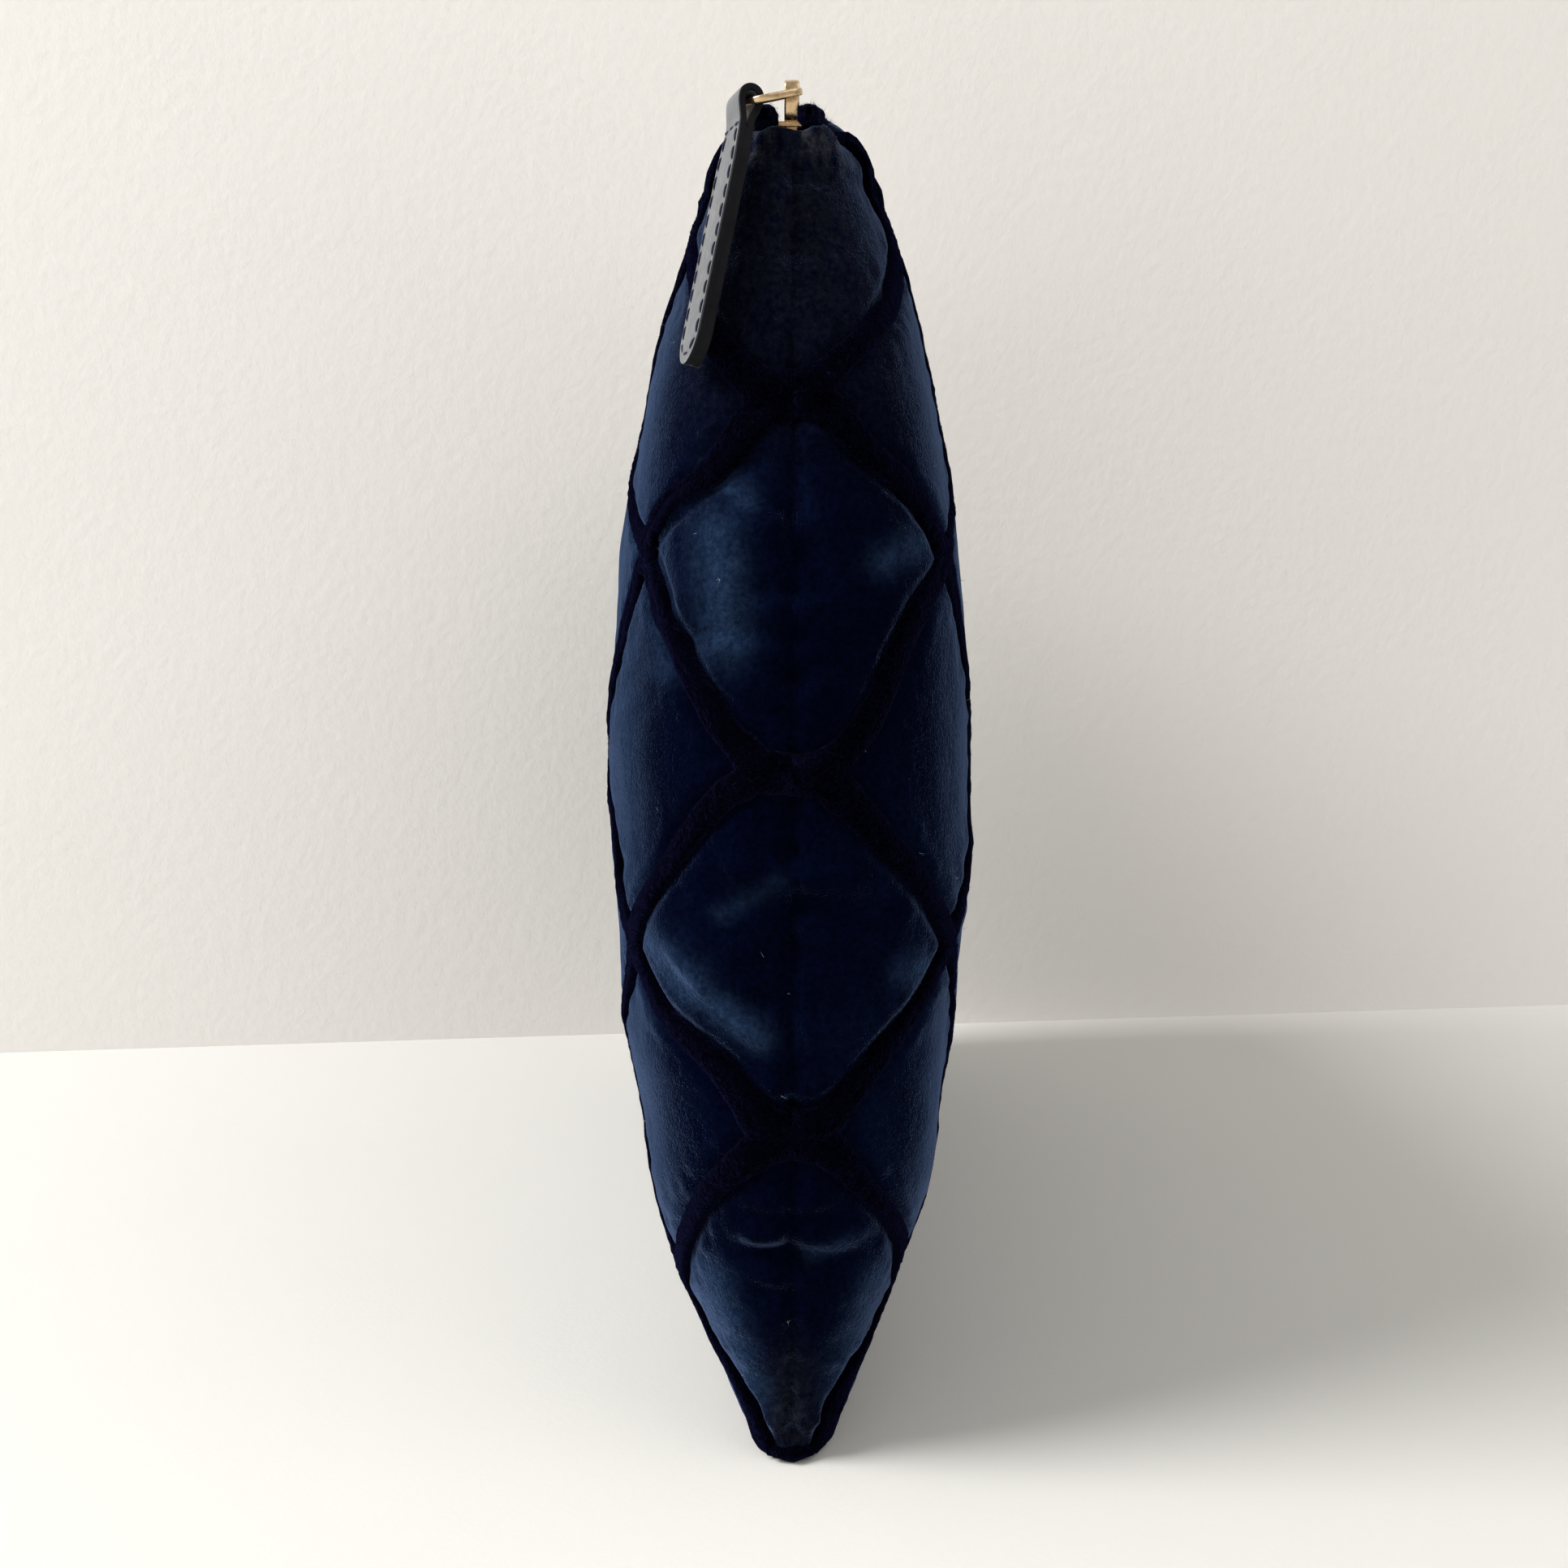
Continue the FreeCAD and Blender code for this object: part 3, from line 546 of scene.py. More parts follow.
def beside_line(along, line):
    """How far a place round the pouch is past a line, to the nearer side."""
    return np.mod(along - line + AROUND / 2, AROUND) - AROUND / 2


def from_seam(along):
    """How far a place is from the nearer end seam."""
    return np.minimum(np.mod(along, PANEL_WIDTH), PANEL_WIDTH - np.mod(along, PANEL_WIDTH))


def around(along, v, length, seed):
    """Smooth noise on the pouch's surface that closes on itself round the ring."""
    turn = 2 * math.pi * along / AROUND
    radius = AROUND / (2 * math.pi)
    both = waves(radius * np.cos(turn), v, length, seed) + waves(radius * np.sin(turn), v, length, seed + 500)
    return both / math.sqrt(2)


# The trellis --------------------------------------------------------------------------------------


def tiles():
    """Each opening round the pouch: its centre (along, v), half flat, and half sizes to the start, end and up.

    Those on the two seams span both panels; the felt is wider where it crosses a seam."""
    found = []
    wide, slim = COLUMN / 2 - SEAM_NODE_HALF, COLUMN / 2 - NODE_HALF
    for column in range(20):
        panel, place = divmod(column, 10)
        along = panel * PANEL_WIDTH + (SEAM_OFFSET + place * COLUMN / 2 if place else 0.0)
        flat = 0.0 if place else SEAM_OFFSET
        tall = ROW / 2 - (NODE_HALF if place else SEAM_NODE_HALF)
        start, end = wide if place == 1 else slim, wide if place == 9 else slim
        first = 0 if place % 2 else -0.5
        for k in range(6):
            found.append((along, (first + k) * ROW, flat, start, end, tall))
    return found


def warp(along, v):
    """How the sewn trim wanders from its drawn lines."""
    beside = beside_line(along, 0.0)
    near = smooth(np.abs(beside), 6 * MM, 26 * MM) * (1 - smooth(np.abs(beside), 45 * MM, 90 * MM))
    low, middle, high = (np.exp(-(((v - level * MM) / (15 * MM)) ** 2)) for level in (28.5, 85.5, 142.5))
    foot = (1 - smooth(np.abs(beside), 8 * MM, 20 * MM)) * np.exp(-((v / (6 * MM)) ** 2))
    shift_v = near * (4.4 * high - 4.0 * low) * MM - 2.0 * MM * foot
    shift_a = near * np.sign(beside) * (2.5 * middle + 2.5 * low - 1.5 * high) * MM
    shift_a = shift_a + 0.9 * MM * around(along, v, 38 * MM, 3)
    return shift_a, shift_v + 0.9 * MM * around(along, v, 34 * MM, 4)


def band_distance(along, v):
    """About how far a point is outside the nearest opening: negative in a cell, positive under the felt."""
    shift_a, shift_v = warp(along, v)
    along, v = along - shift_a, v - shift_v
    best = np.full(np.broadcast(along, v).shape, 1e9)
    for centre, level, flat, start, end, tall in tiles():
        across = beside_line(along, centre)
        wide = np.where(across < 0, start, end)
        across = np.maximum(np.abs(across) - flat, 0)
        reach = ((across / wide) ** OPENING_POWER + (np.abs(v - level) / tall) ** OPENING_POWER)
        best = np.minimum(best, (reach ** (1 / OPENING_POWER) - 1) * wide * tall / np.hypot(wide, tall))
    return best


# The padded velvet --------------------------------------------------------------------------------


def inflate(points, pinned):
    """Blows the cells out between the sewn lines with Blender's cloth, and gives back the new points."""
    rows, columns, _ = points.shape
    ring = new_object("cloth_trial", points.reshape(-1, 3), grid_faces(rows, columns, wrap=True)[:, ::-1])
    group = ring.vertex_groups.new(name="sewn")
    for weight in np.unique(np.round(pinned, 1)):
        chosen = np.flatnonzero(np.round(pinned.ravel(), 1) == weight)
        if weight > 0:
            group.add(chosen.tolist(), float(weight), "REPLACE")
    cloth = ring.modifiers.new("cloth", "CLOTH")
    settings = cloth.settings
    settings.quality = 7
    settings.mass = 0.12
    settings.tension_stiffness = settings.compression_stiffness = 18
    settings.shear_stiffness = 6
    settings.bending_stiffness = 0.25
    settings.tension_damping = settings.compression_damping = settings.shear_damping = 12
    settings.air_damping = 3
    settings.use_pressure = True
    settings.uniform_pressure_force = 4
    settings.shrink_min = -SLACK
    settings.vertex_group_mass = "sewn"
    settings.pin_stiffness = 3
    settings.effector_weights.gravity = 0
    cloth.point_cache.frame_start = 1
    cloth.point_cache.frame_end = 20
    scene = bpy.context.scene
    for step in range(1, 21):
        scene.frame_set(step)
    graph = bpy.context.evaluated_depsgraph_get()
    moved = mesh_points(ring.evaluated_get(graph).to_mesh()).reshape(rows, columns, 3)
    bpy.data.objects.remove(ring)
    scene.frame_set(1)
    change = moved - points
    reach = np.linalg.norm(change, axis=2, keepdims=True)
    return change * np.minimum(1, PUFF_LIMIT / np.maximum(reach, 1e-9))


def finer_grid(values, finer):
    """A grid of vectors resampled with cubic curves, closed along its columns."""
    def resample(data, closed):
        count = len(data)
        spots = np.arange(0, count if closed else count - 1 + 1e-9, 1 / finer)
        if not closed:
            spots = spots[:(count - 1) * finer + 1]
        base = np.floor(spots).astype(int)
        t = (spots - base)[:, None, None]
        pick = (lambda i: data[i % count]) if closed else (lambda i: data[np.clip(i, 0, count - 1)])
        a, b, c, d = pick(base - 1), pick(base), pick(base + 1), pick(base + 2)
        return b + 0.5 * t * (c - a + t * (2 * a - 5 * b + 4 * c - d + t * (3 * (b - c) + d - a)))
    tall = resample(values, False)
    return resample(tall.transpose(1, 0, 2), True).transpose(1, 0, 2)


FOLD_GAIN = 1.45
FOLD_SPREAD = 1.2

# Puckers by the near seam, in mm. Each one: level at the seam, slope away from it, where it
# starts and ends beside the seam, height, width, and its side of the seam (-1 front, 1 back)
NEAR_FOLDS = (
    (150, 0.10, 2, 16, 0.9, 2.6, -1), (141, -0.35, 4, 24, -0.8, 2.8, -1), (134, 0.12, 1, 12, -0.5, 1.8, -1),
    (155, -0.25, 1, 22, 0.9, 3.0, 1), (147, 0.05, 1, 14, -0.6, 2.0, 1), (133, -0.05, 1, 12, -0.5, 1.6, 1),
    (69, 0.78, 4, 25, 1.0, 2.4, -1), (97, 0.30, 0, 12, 0.9, 2.6, -1), (92, 0.15, 0, 14, -0.8, 2.0, -1),
    (78, 0.10, 1, 15, -0.6, 2.0, -1), (94, -0.10, 0, 18, -1.2, 1.8, 1), (98, -0.05, 0, 13, 0.8, 2.4, 1),
    (86, -0.02, 0, 20, -0.6, 1.8, 1), (74, -0.12, 1, 12, 0.5, 2.0, 1),
    (36, -0.02, 1, 15, -0.7, 1.5, 1), (39.5, 0.06, 0, 16, 0.5, 2.4, 1), (41, 0.0, 1, 9, 0.7, 1.8, -1),
    (36.5, 0.1, 1, 13, -0.6, 1.8, -1), (30, 0.1, 0, 8, -0.4, 1.4, -1), (14, -1.2, 0, 9, 0.4, 1.2, 1),
    (196, 0.0, 0, 12, -0.4, 1.8, 1), (187, 0.05, 0, 10, -0.4, 1.6, 1), (190, 0.05, 1, 12, 0.5, 2.4, -1),
    (204, 0.1, 1, 10, -0.5, 1.5, 1), (202, 0.1, 1, 9, 0.5, 1.8, -1),
)


def far_folds():
    """Folds like the near ones beside the other seam, drawn at random."""
    draw = np.random.default_rng(21)
    folds = []
    for cell in range(4):
        for _ in range(6):
            level = (cell + 0.5) * 57 + draw.uniform(-17, 17)
            folds.append((
                level, draw.uniform(-0.4, 0.4), draw.uniform(0, 3), draw.uniform(9, 22),
                draw.choice([-1, 1]) * draw.uniform(0.4, 1.0), draw.uniform(1.6, 2.8), draw.choice([-1, 1]),
            ))
    return folds


def fold_height(along, v, seam, folds):
    """Height of the puckers beside one seam."""
    beside = beside_line(along, seam)
    away = np.abs(beside) / MM
    total = np.zeros(np.broadcast(along, v).shape)
    for level, slope, start, end, height, width, side in folds:
        near = (beside * side <= 0) if seam == 0 else (beside * side >= 0)
        strip = np.exp(-(((v / MM - level - slope * away) / (FOLD_SPREAD * width)) ** 2))
        reach = smooth(away, start - 2.5, start + 1.5) * (1 - smooth(away, 0.6 * end, 1.15 * end))
        total += FOLD_GAIN * height * MM * strip * reach * near
    return total


def detail_height(along, v):
    """Everything sewn and rubbed into the velvet after it is stuffed."""
    seam = from_seam(along)
    outside = band_distance(along, v)
    groove = -1.5 * MM * np.exp(-((seam / (1.5 * MM)) ** 2)) - 0.35 * MM * np.exp(-((seam / (5 * MM)) ** 2))
    gathers = 0.42 * MM * waves(0.35 * seam, v + 0 * seam, 6 * MM, 11) * np.exp(-((seam / (9 * MM)) ** 2))
    tuck = -0.55 * MM * np.exp(-((outside / (1.3 * MM)) ** 2))
    hollow = -0.5 * MM * smooth(outside, -2 * MM, 0.5 * MM)
    ease = 0.36 * MM * around(along, v, 30 * MM, 5) + 0.05 * MM * around(along, v, 9 * MM, 6)
    crimps = 0.10 * MM * around(along, v, 5 * MM, 8) * np.exp(-(((outside + 2.5 * MM) / (3 * MM)) ** 2))
    low = smooth(v, 0.5 * MM, 6 * MM) * (1 - smooth(v, MOUTH_LEVEL, MOUTH_LEVEL + 4 * MM))
    folds = fold_height(along, v, 0.0, NEAR_FOLDS) + fold_height(along, v, PANEL_WIDTH, far_folds())
    return (groove + gathers + tuck + hollow + ease + crimps) * low + folds * low * (outside < 1 * MM)


def shape_corners(points, rows):
    """Raises the velvet lobes that close over each end of the mouth, and sinks the gap the zip lies in."""
    x, y = points[:, :, 0], points[:, :, 1]
    above = smooth(rows, MOUTH_LEVEL + 4 * MM, MOUTH_LEVEL + 8 * MM)[:, None]
    closed = smooth(np.abs(x), MOUTH_END + 1 * MM, MOUTH_END + 4 * MM)
    lobe = (0.1 + 0.9 * smooth(np.abs(y), 0.5 * MM, 4 * MM)) * (1 - smooth(np.abs(y), 8 * MM, 13 * MM))
    height = np.where(y > 0, 1.1, 1.2) * MM * smooth(np.abs(x), 122 * MM, 128 * MM)
    folds = 0.3 * MM * waves(x, y, 7 * MM, 51)
    bed = ZIP_LOW - points[:, :, 2]
    inside = (1 - smooth(np.abs(y), 3.4 * MM, 4.8 * MM)) * (1 - smooth(np.abs(x), 126.6 * MM, 128 * MM))
    lift = lobe * height + folds
    points[:, :, 2] += above * closed * ((1 - inside) * lift + inside * np.minimum(bed, 0))


def stuffed_grid():
    """The velvet's final points and normals, with the along and v of its columns and rows."""
    rows = grid_rows(1)
    along = AROUND * np.arange(COLUMNS) / COLUMNS
    points = soften_top(base_grid(rows, along), rows, 3)
    outside = band_distance(along[None, :], rows[:, None])
    seam = from_seam(along)
    sewn = np.maximum(smooth(outside, -2.2 * MM, -0.6 * MM), (seam < 1 * MM)[None, :] * 0.6)
    sewn = np.maximum(sewn, ((rows < 1.5 * MM) | (rows > MOUTH_LEVEL - 2 * MM))[:, None] * 1.0)
    change = inflate(points, sewn)
    fine_rows, fine_along = grid_rows(FINER), AROUND * np.arange(COLUMNS * FINER) / (COLUMNS * FINER)
    fine = finer_grid(points + change, FINER)
    normals = grid_normals(fine)
    fine = fine + normals * detail_height(fine_along[None, :], fine_rows[:, None])[:, :, None]
    shape_corners(fine, fine_rows)
    fine[:, :, 2] = np.maximum(fine[:, :, 2], FELT_THICKNESS)
    return fine, grid_normals(fine), fine_rows, fine_along


velvet_points, velvet_normals, velvet_rows, velvet_along = stuffed_grid()


def on_velvet(along, v, height):
    """Points at a height above the velvet."""
    rows, columns = velvet_points.shape[:2]
    c = np.mod(along, AROUND) / AROUND * columns
    r = np.interp(v, velvet_rows, np.arange(rows))
    r0 = np.minimum(np.floor(r).astype(int), rows - 2)
    c0 = np.floor(c).astype(int) % columns
    fr, fc = (r - r0)[..., None], (c - np.floor(c))[..., None]
    c1 = (c0 + 1) % columns
    def mixed(grid):
        low = grid[r0, c0] * (1 - fc) + grid[r0, c1] * fc
        high = grid[r0 + 1, c0] * (1 - fc) + grid[r0 + 1, c1] * fc
        return low * (1 - fr) + high * fr
    return mixed(velvet_points) + mixed(velvet_normals) * np.asarray(height)[..., None]


# Baking pieces in place, and the velvet panels ----------------------------------------------------


def opens(obj, centres=None):
    """Bakes a piece's placing into its mesh and gathers its points, or the centres given, which nothing then
    uses.
    """
    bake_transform(obj)
    places = mesh_points(obj.data) if centres is None else centres


def store(obj, name, values):
    """A number on each point of a mesh, for its material."""
    attribute = obj.data.attributes.new(name, "FLOAT", "POINT")
    attribute.data.foreach_set("value", np.asarray(values, np.float32).ravel())


def wear_at(points):
    """Where the pile is rubbed: the closed corner's top and the foot of the near seam."""
    x, y, z = points[:, 0], points[:, 1], points[:, 2]
    corner = 0.8 * smooth(z, 204 * MM, 210 * MM) * smooth(x, 116 * MM, 128 * MM)
    corner = corner * smooth(np.abs(y), 0.8 * MM, 2 * MM)
    patches = 0.45 + 0.55 * waves(2 * y, z, 5 * MM, 31)
    foot = 0.25 * smooth(x, 115 * MM, 130 * MM) * (1 - smooth(z, 10 * MM, 28 * MM))
    foot = foot * np.exp(-((y / (4 * MM)) ** 2))
    dusty = 0.16 * smooth(z, 150 * MM, 200 * MM) * smooth(x, 90 * MM, 120 * MM)
    return np.clip(corner * patches + foot + dusty, 0, 1)


# Painted highlights: streaks where the pile is painted lighter where light catches it, in mm: y and level of
# both ends, and width.
# The last number is the strength
PAINTED_SHEEN_STREAKS = (
    (-10.5, 134, -11.5, 150, 4.0, 0.8), (-7, 155, -12, 160, 2.0, 0.7), (14, 146, 20, 149, 2.6, 0.7),
    (-24, 86, -16, 80, 3.4, 1.0), (-16, 80, -5, 73, 2.4, 0.9), (19, 82, 26, 80, 3.0, 0.8),
    (-11, 92, -2, 97, 1.6, 0.3), (-14, 30, -8, 12, 4.0, 1.0), (14, 30, 8, 12, 3.4, 0.6),
    (3, 37, 9, 39, 1.5, 0.5), (-20, 130, -22, 150, 3.0, 0.5),
)


def painted_sheen_at(points):
    """How much the pile is painted lighter, as painted sheen where light catches it, beside the near seam and
    along the lit sides.
    """
    near = smooth(points[:, 0], 60 * MM, 100 * MM)
    total = np.zeros(len(points))
    for y0, z0, y1, z1, width, strength in PAINTED_SHEEN_STREAKS:
        start, end = np.array([y0, z0]) * MM, np.array([y1, z1]) * MM
        run = end - start
        offset = points[:, 1:] - start
        t = np.clip(offset @ run / (run @ run), 0, 1)
        gap = np.linalg.norm(offset - t[:, None] * run, axis=1)
        total = np.maximum(total, strength * np.exp(-((gap / (width * MM)) ** 2)))
    side = np.abs(points[:, 1]) / half_width(np.clip(points[:, 2], 0, MOUTH_LEVEL))
    low = 1 - smooth(points[:, 2], 55 * MM, 80 * MM)
    # Painted shading: the sides turned to the lamps are painted lighter. The front gets more, and the back
    # gets more low down
    brushed = np.where(points[:, 1] < 0, 0.62, 0.4 + 0.4 * low) * smooth(side, 0.62, 0.88)
    return np.maximum(total * near, brushed)


SIDES = (("front", -1), ("back", 1))


def panel_columns(side):
    half = COLUMNS * FINER // 2
    first = 0 if side < 0 else half
    return [(first + i) % (2 * half) for i in range(half + 1)]


for label, side in SIDES:
    points = velvet_points[:, panel_columns(side)]
    panel = new_object(f"velvet_panel_{label}", points.reshape(-1, 3), grid_faces(*points.shape[:2]), velvet)
    tidy_mesh(panel)
    places = mesh_points(panel.data)
    store(panel, "wear", wear_at(places))
    # the painted sheen mask: patches and sides painted lighter for the velvet material
    store(panel, "painted_sheen", painted_sheen_at(places))
    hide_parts(f"velvet_{label}", f"padding_{label}", f"lip_velvet_{label}")
    opens(panel)


# The felt -----------------------------------------------------------------------------------------

TILE_STEPS = 40
BAND_STEPS = (0, 0.06, 0.22, 0.5, 0.78, 1)
BAND_HEIGHTS = (-0.5, 0.62, 0.92, 1.0, 0.96, 0.9)


def tile_ring(centre, level, flat, start, end, tall):
    """Inner and outer lines of the felt round one opening, as (along, v) before they wander."""
    turn = np.linspace(0, 2 * math.pi, 4 * TILE_STEPS + 1)[:-1]
    cos, sin = np.cos(turn), np.sin(turn)
    cos[np.abs(cos) < 1e-9] = 0
    sin[np.abs(sin) < 1e-9] = 0
    inner = np.stack([
        signed_power(cos, 2 / OPENING_POWER) * np.where(cos < 0, start, end),
        signed_power(sin, 2 / OPENING_POWER) * tall,
    ], 1)
    outer = np.stack([np.sign(cos) * cos ** 2 * COLUMN / 2, np.sign(sin) * sin ** 2 * ROW / 2], 1)
    for line in (inner, outer):
        line[:, 0] += np.sign(np.round(cos, 9)) * flat
        line += (centre, level)
    return inner, outer


def trellis(label, side):
    """One panel's felt: the frame of every opening, each a ridge that falls to its edge."""
    points, faces = [], []
    first = 0 if side < 0 else PANEL_WIDTH
    highest = MOUTH_LEVEL + 0.66 * TOP_RUN

    def past_edge(along):
        return np.mod(along - first + PANEL_WIDTH / 2, AROUND) - PANEL_WIDTH / 2

    for number, tile in enumerate(tiles()):
        inner, outer = tile_ring(*tile)
        count = len(inner)
        edge = 0.20 * MM * waves(np.arange(count) * 1.0, 0.0, 5.0, 100 + number, 8)
        edge += 0.05 * MM * rng.normal(size=count)
        heading = outer - inner
        heading /= np.maximum(np.linalg.norm(heading, axis=1, keepdims=True), 1e-9)
        inner = inner + heading * edge[:, None]
        start = len(points)
        lines = []
        for step, height in zip(BAND_STEPS, BAND_HEIGHTS):
            line = inner + (outer - inner) * step
            shift_a, shift_v = warp(line[:, 0], line[:, 1])
            line = line + np.stack([shift_a, shift_v], 1)
            rough = 0.07 * MM * rng.normal(size=count) * (step > 0)
            lines.append((line, FELT_THICKNESS * height + rough))
        for line, heights in lines:
            held = np.clip(past_edge(line[:, 0]), 0, PANEL_WIDTH) + first
            v = np.clip(line[:, 1], -HALF_BASE, highest)
            points.extend(on_velvet(held, v, heights))
        flats = np.concatenate([line for line, _ in lines])
        beside = past_edge(flats[:, 0])
        for face in grid_faces(len(lines), count, wrap=True):
            a, v = beside[face], flats[face, 1]
            on_panel = a.max() > 1e-6 and a.min() < PANEL_WIDTH - 1e-6 and np.ptp(a) < PANEL_WIDTH / 2
            if on_panel and v.max() > -HALF_BASE and v.min() < highest:
                faces.append(face + start)
    points = np.array(points)
    points[:, 2] = np.maximum(points[:, 2], 0.05 * MM)
    return points, np.array(faces)


def fibre_solids(roots, normals, count, length, thickness):
    """Points and faces of short loose fibres: slim three-sided spikes that stand out of a surface."""
    chosen = rng.integers(0, len(roots), count)
    base = roots[chosen]
    lean = normals[chosen] + rng.normal(scale=0.75, size=(count, 3))
    lean /= np.linalg.norm(lean, axis=1, keepdims=True)
    sideways = np.cross(lean, rng.normal(size=(count, 3)))
    sideways /= np.maximum(np.linalg.norm(sideways, axis=1, keepdims=True), 1e-9)
    third = np.cross(lean, sideways)
    reach = (length * rng.uniform(0.4, 1.2, count))[:, None]
    start = base - lean * 0.15 * MM
    corners = [start + thickness * (math.cos(a) * sideways + math.sin(a) * third) for a in (0, 2.1, 4.2)]
    tip = base + lean * reach + sideways * reach * 0.25
    points = np.stack([*corners, tip], 1).reshape(-1, 3)
    first = 4 * np.arange(count)[:, None]
    faces = np.concatenate([first + np.array(f) for f in ((0, 2, 1), (0, 1, 3), (1, 2, 3), (2, 0, 3))])
    return points, faces


def fibres_on(name, points, faces, count, length, thickness=0.03 * MM):
    """A mesh of loose fibres that stand out of the faces of another."""
    corners = points[faces[:, :3]]
    normals = np.cross(corners[:, 1] - corners[:, 0], corners[:, 2] - corners[:, 0])
    area = np.linalg.norm(normals, axis=1, keepdims=True)
    keep = area[:, 0] > 1e-10
    middles, normals = points[faces].mean(1)[keep], (normals / np.maximum(area, 1e-12))[keep]
    extra, triangles = fibre_solids(middles, normals, count, length, thickness)
    extra[:, 2] = np.maximum(extra[:, 2], 0)
    return new_object(name, extra, triangles, fuzz)


for label, side in SIDES:
    points, faces = trellis(label, side)
    bands = new_object(f"trellis_{label}", points, faces, felt)
    tidy_mesh(bands, 0.005 * MM)
    for piece in (bands, fibres_on(f"trellis_fuzz_{label}", points, faces, 9000, 0.5 * MM)):
        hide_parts(f"trim_{label}")
        opens(piece)


for label, side in SIDES:
    count = 70
    along = (0 if side < 0 else PANEL_WIDTH) + PANEL_WIDTH * rng.beta(0.6, 0.9, count)
    level = rng.uniform(6 * MM, 200 * MM, count)
    roots = on_velvet(along, level, np.full(count, 0.5 * MM))
    outward = roots - on_velvet(along, level, np.zeros(count))
    strands = fibre_solids(roots, outward / (0.5 * MM), count, 1.1 * MM, 0.03 * MM)
    flyaway = new_object(f"lint_{label}", *strands, lint)
    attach(flyaway, "pouch")


# The lips -----------------------------------------------------------------------------------------


def lip_felt(side):
    """The chunky felt edge beside the zip, lumpy and fuzzy, closed at both ends."""
    count, spokes = 330, 20
    x = np.linspace(-MOUTH_END - ROLL_PAST, MOUTH_END + ROLL_PAST, count)
    half_y = (roll_high.y - roll_low.y) / 2
    half_z = (roll_high.z - roll_low.z) / 2
    middle = Vector((0, side * abs(roll_high.y + roll_low.y) / 2, (roll_high.z + roll_low.z) / 2))
    tip = np.clip((np.abs(x) - MOUTH_END - 6.5 * MM) / (4.6 * MM), 0, 1)
    ends = np.sqrt(np.clip(1 - tip ** 2, 0.0004, 1))
    pinch = smooth(np.abs(x), MOUTH_END - 12 * MM, MOUTH_END + 7 * MM)
    points = []
    for i in range(count):
        for k in range(spokes):
            turn = 2 * math.pi * k / spokes
            lump = 1 + 0.10 * waves(x[i], turn * 2 * MM, 4.5 * MM, 40 + side, 10) + 0.05 * rng.normal()
            a = np.sign(math.cos(turn)) * abs(math.cos(turn)) ** 0.8 * half_y * lump
            b = np.sign(math.sin(turn)) * abs(math.sin(turn)) ** 0.8 * half_z * lump
            y, z = middle.y - (2.5 + 0.8 * side) * MM * side * pinch[i], middle.z - 2.7 * MM * pinch[i]
            points.append((x[i], y + a * ends[i], z + b * ends[i] * (1 + 0.25 * pinch[i])))
    faces = grid_faces(count, spokes, wrap=True)
    return np.array(points), faces


for label, side in SIDES:
    points, faces = lip_felt(side)
    roll = new_object(f"lip_felt_{label}", points, faces, felt)
    tidy_mesh(roll, 0.005 * MM)
    for piece in (roll, fibres_on(f"lip_fuzz_{label}", points, faces, 12000, 0.9 * MM)):
        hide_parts(f"lip_trim_{label}")
        opens(piece)


def zip_tape(side):
    """The woven tape: a thin slab with a corded edge by the teeth."""
    count = 240
    x = np.linspace(tape_low.x, tape_high.x, count)
    inner, outer = -tape_high.y, -tape_low.y
    middle = (tape_low.z + tape_high.z) / 2 - ZIP_DROP
    half = (tape_high.z - tape_low.z) / 2
    outer -= TAPE_TRIM
    profile = [(inner, 0), (inner + 0.1 * MM, 1.5), (inner + 0.6 * MM, 1.7), (inner + 1.1 * MM, 1.1),
               (inner + 2 * MM, 0.9), (outer - 0.3 * MM, 0.9), (outer, 0)]
    section = profile + [(y, -h) for y, h in profile[-2:0:-1]]
    rings = np.array([[(x0, side * y, middle + half * h) for y, h in section] for x0 in x])
    return rings.reshape(-1, 3), capped_faces(count, len(section))


for label, side in SIDES:
    strip = new_object(f"zip_tape_{label}", *zip_tape(side), tape)
    tidy_mesh(strip, 0.005 * MM)
    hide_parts(f"tape_{label}")
    opens(strip)


def bevelled_block(size, radius, segments=2):
    """Points and faces of a block with rounded edges about the origin."""
    work = bmesh.new()
    bmesh.ops.create_cube(work, size=1)
    bmesh.ops.scale(work, vec=size, verts=work.verts)
    bmesh.ops.bevel(work, geom=work.edges[:], offset=radius, segments=segments, profile=0.5, affect="EDGES")
    points = np.array([v.co for v in work.verts])
    faces = [[v.index for v in f.verts] for f in work.faces]
    work.free()
    return points, faces


def teeth_row(label, side):
    """One row of teeth: a clamped root on the tape and a rounded head that reaches past the middle."""
    low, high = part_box(f"teeth_{label}")
    count = int(round((high.x - low.x) / TOOTH_PITCH)) + 1
    middle = (low.z + high.z) / 2 - ZIP_DROP
    block, block_faces = bevelled_block((TOOTH_LENGTH, high.y - low.y, high.z - low.z), 0.28 * MM)
    inner = 0.5 - side * block[:, 1] / (high.y - low.y)
    block[:, 0] *= 1 + 0.18 * np.sin(inner * math.pi)
    block[:, 2] *= 1 - 0.22 * smooth(inner, 0.2, 0.9)
    points, faces, centres = [], [], []
    for i in range(count):
        x = high.x - 0.5 * MM - i * TOOTH_PITCH
        tooth = [(x + p[0], (low.y + high.y) / 2 + p[1], middle + p[2]) for p in block]
        join(points, faces, tooth, block_faces)
        centres += [(x, 0, middle)] * len(block)
    return points, faces, np.array(centres)


for label, side in SIDES:
    points, faces, centres = teeth_row(label, side)
    row = new_object(f"zip_teeth_{label}", points, faces, gold)
    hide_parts(f"teeth_{label}")
    opens(row, centres)


# The lining ---------------------------------------------------------------------------------------

LINING_INSET = 5 * MM
LINING_EDGE = 8.4 * MM
LINING_THICKNESS = 0.4 * MM


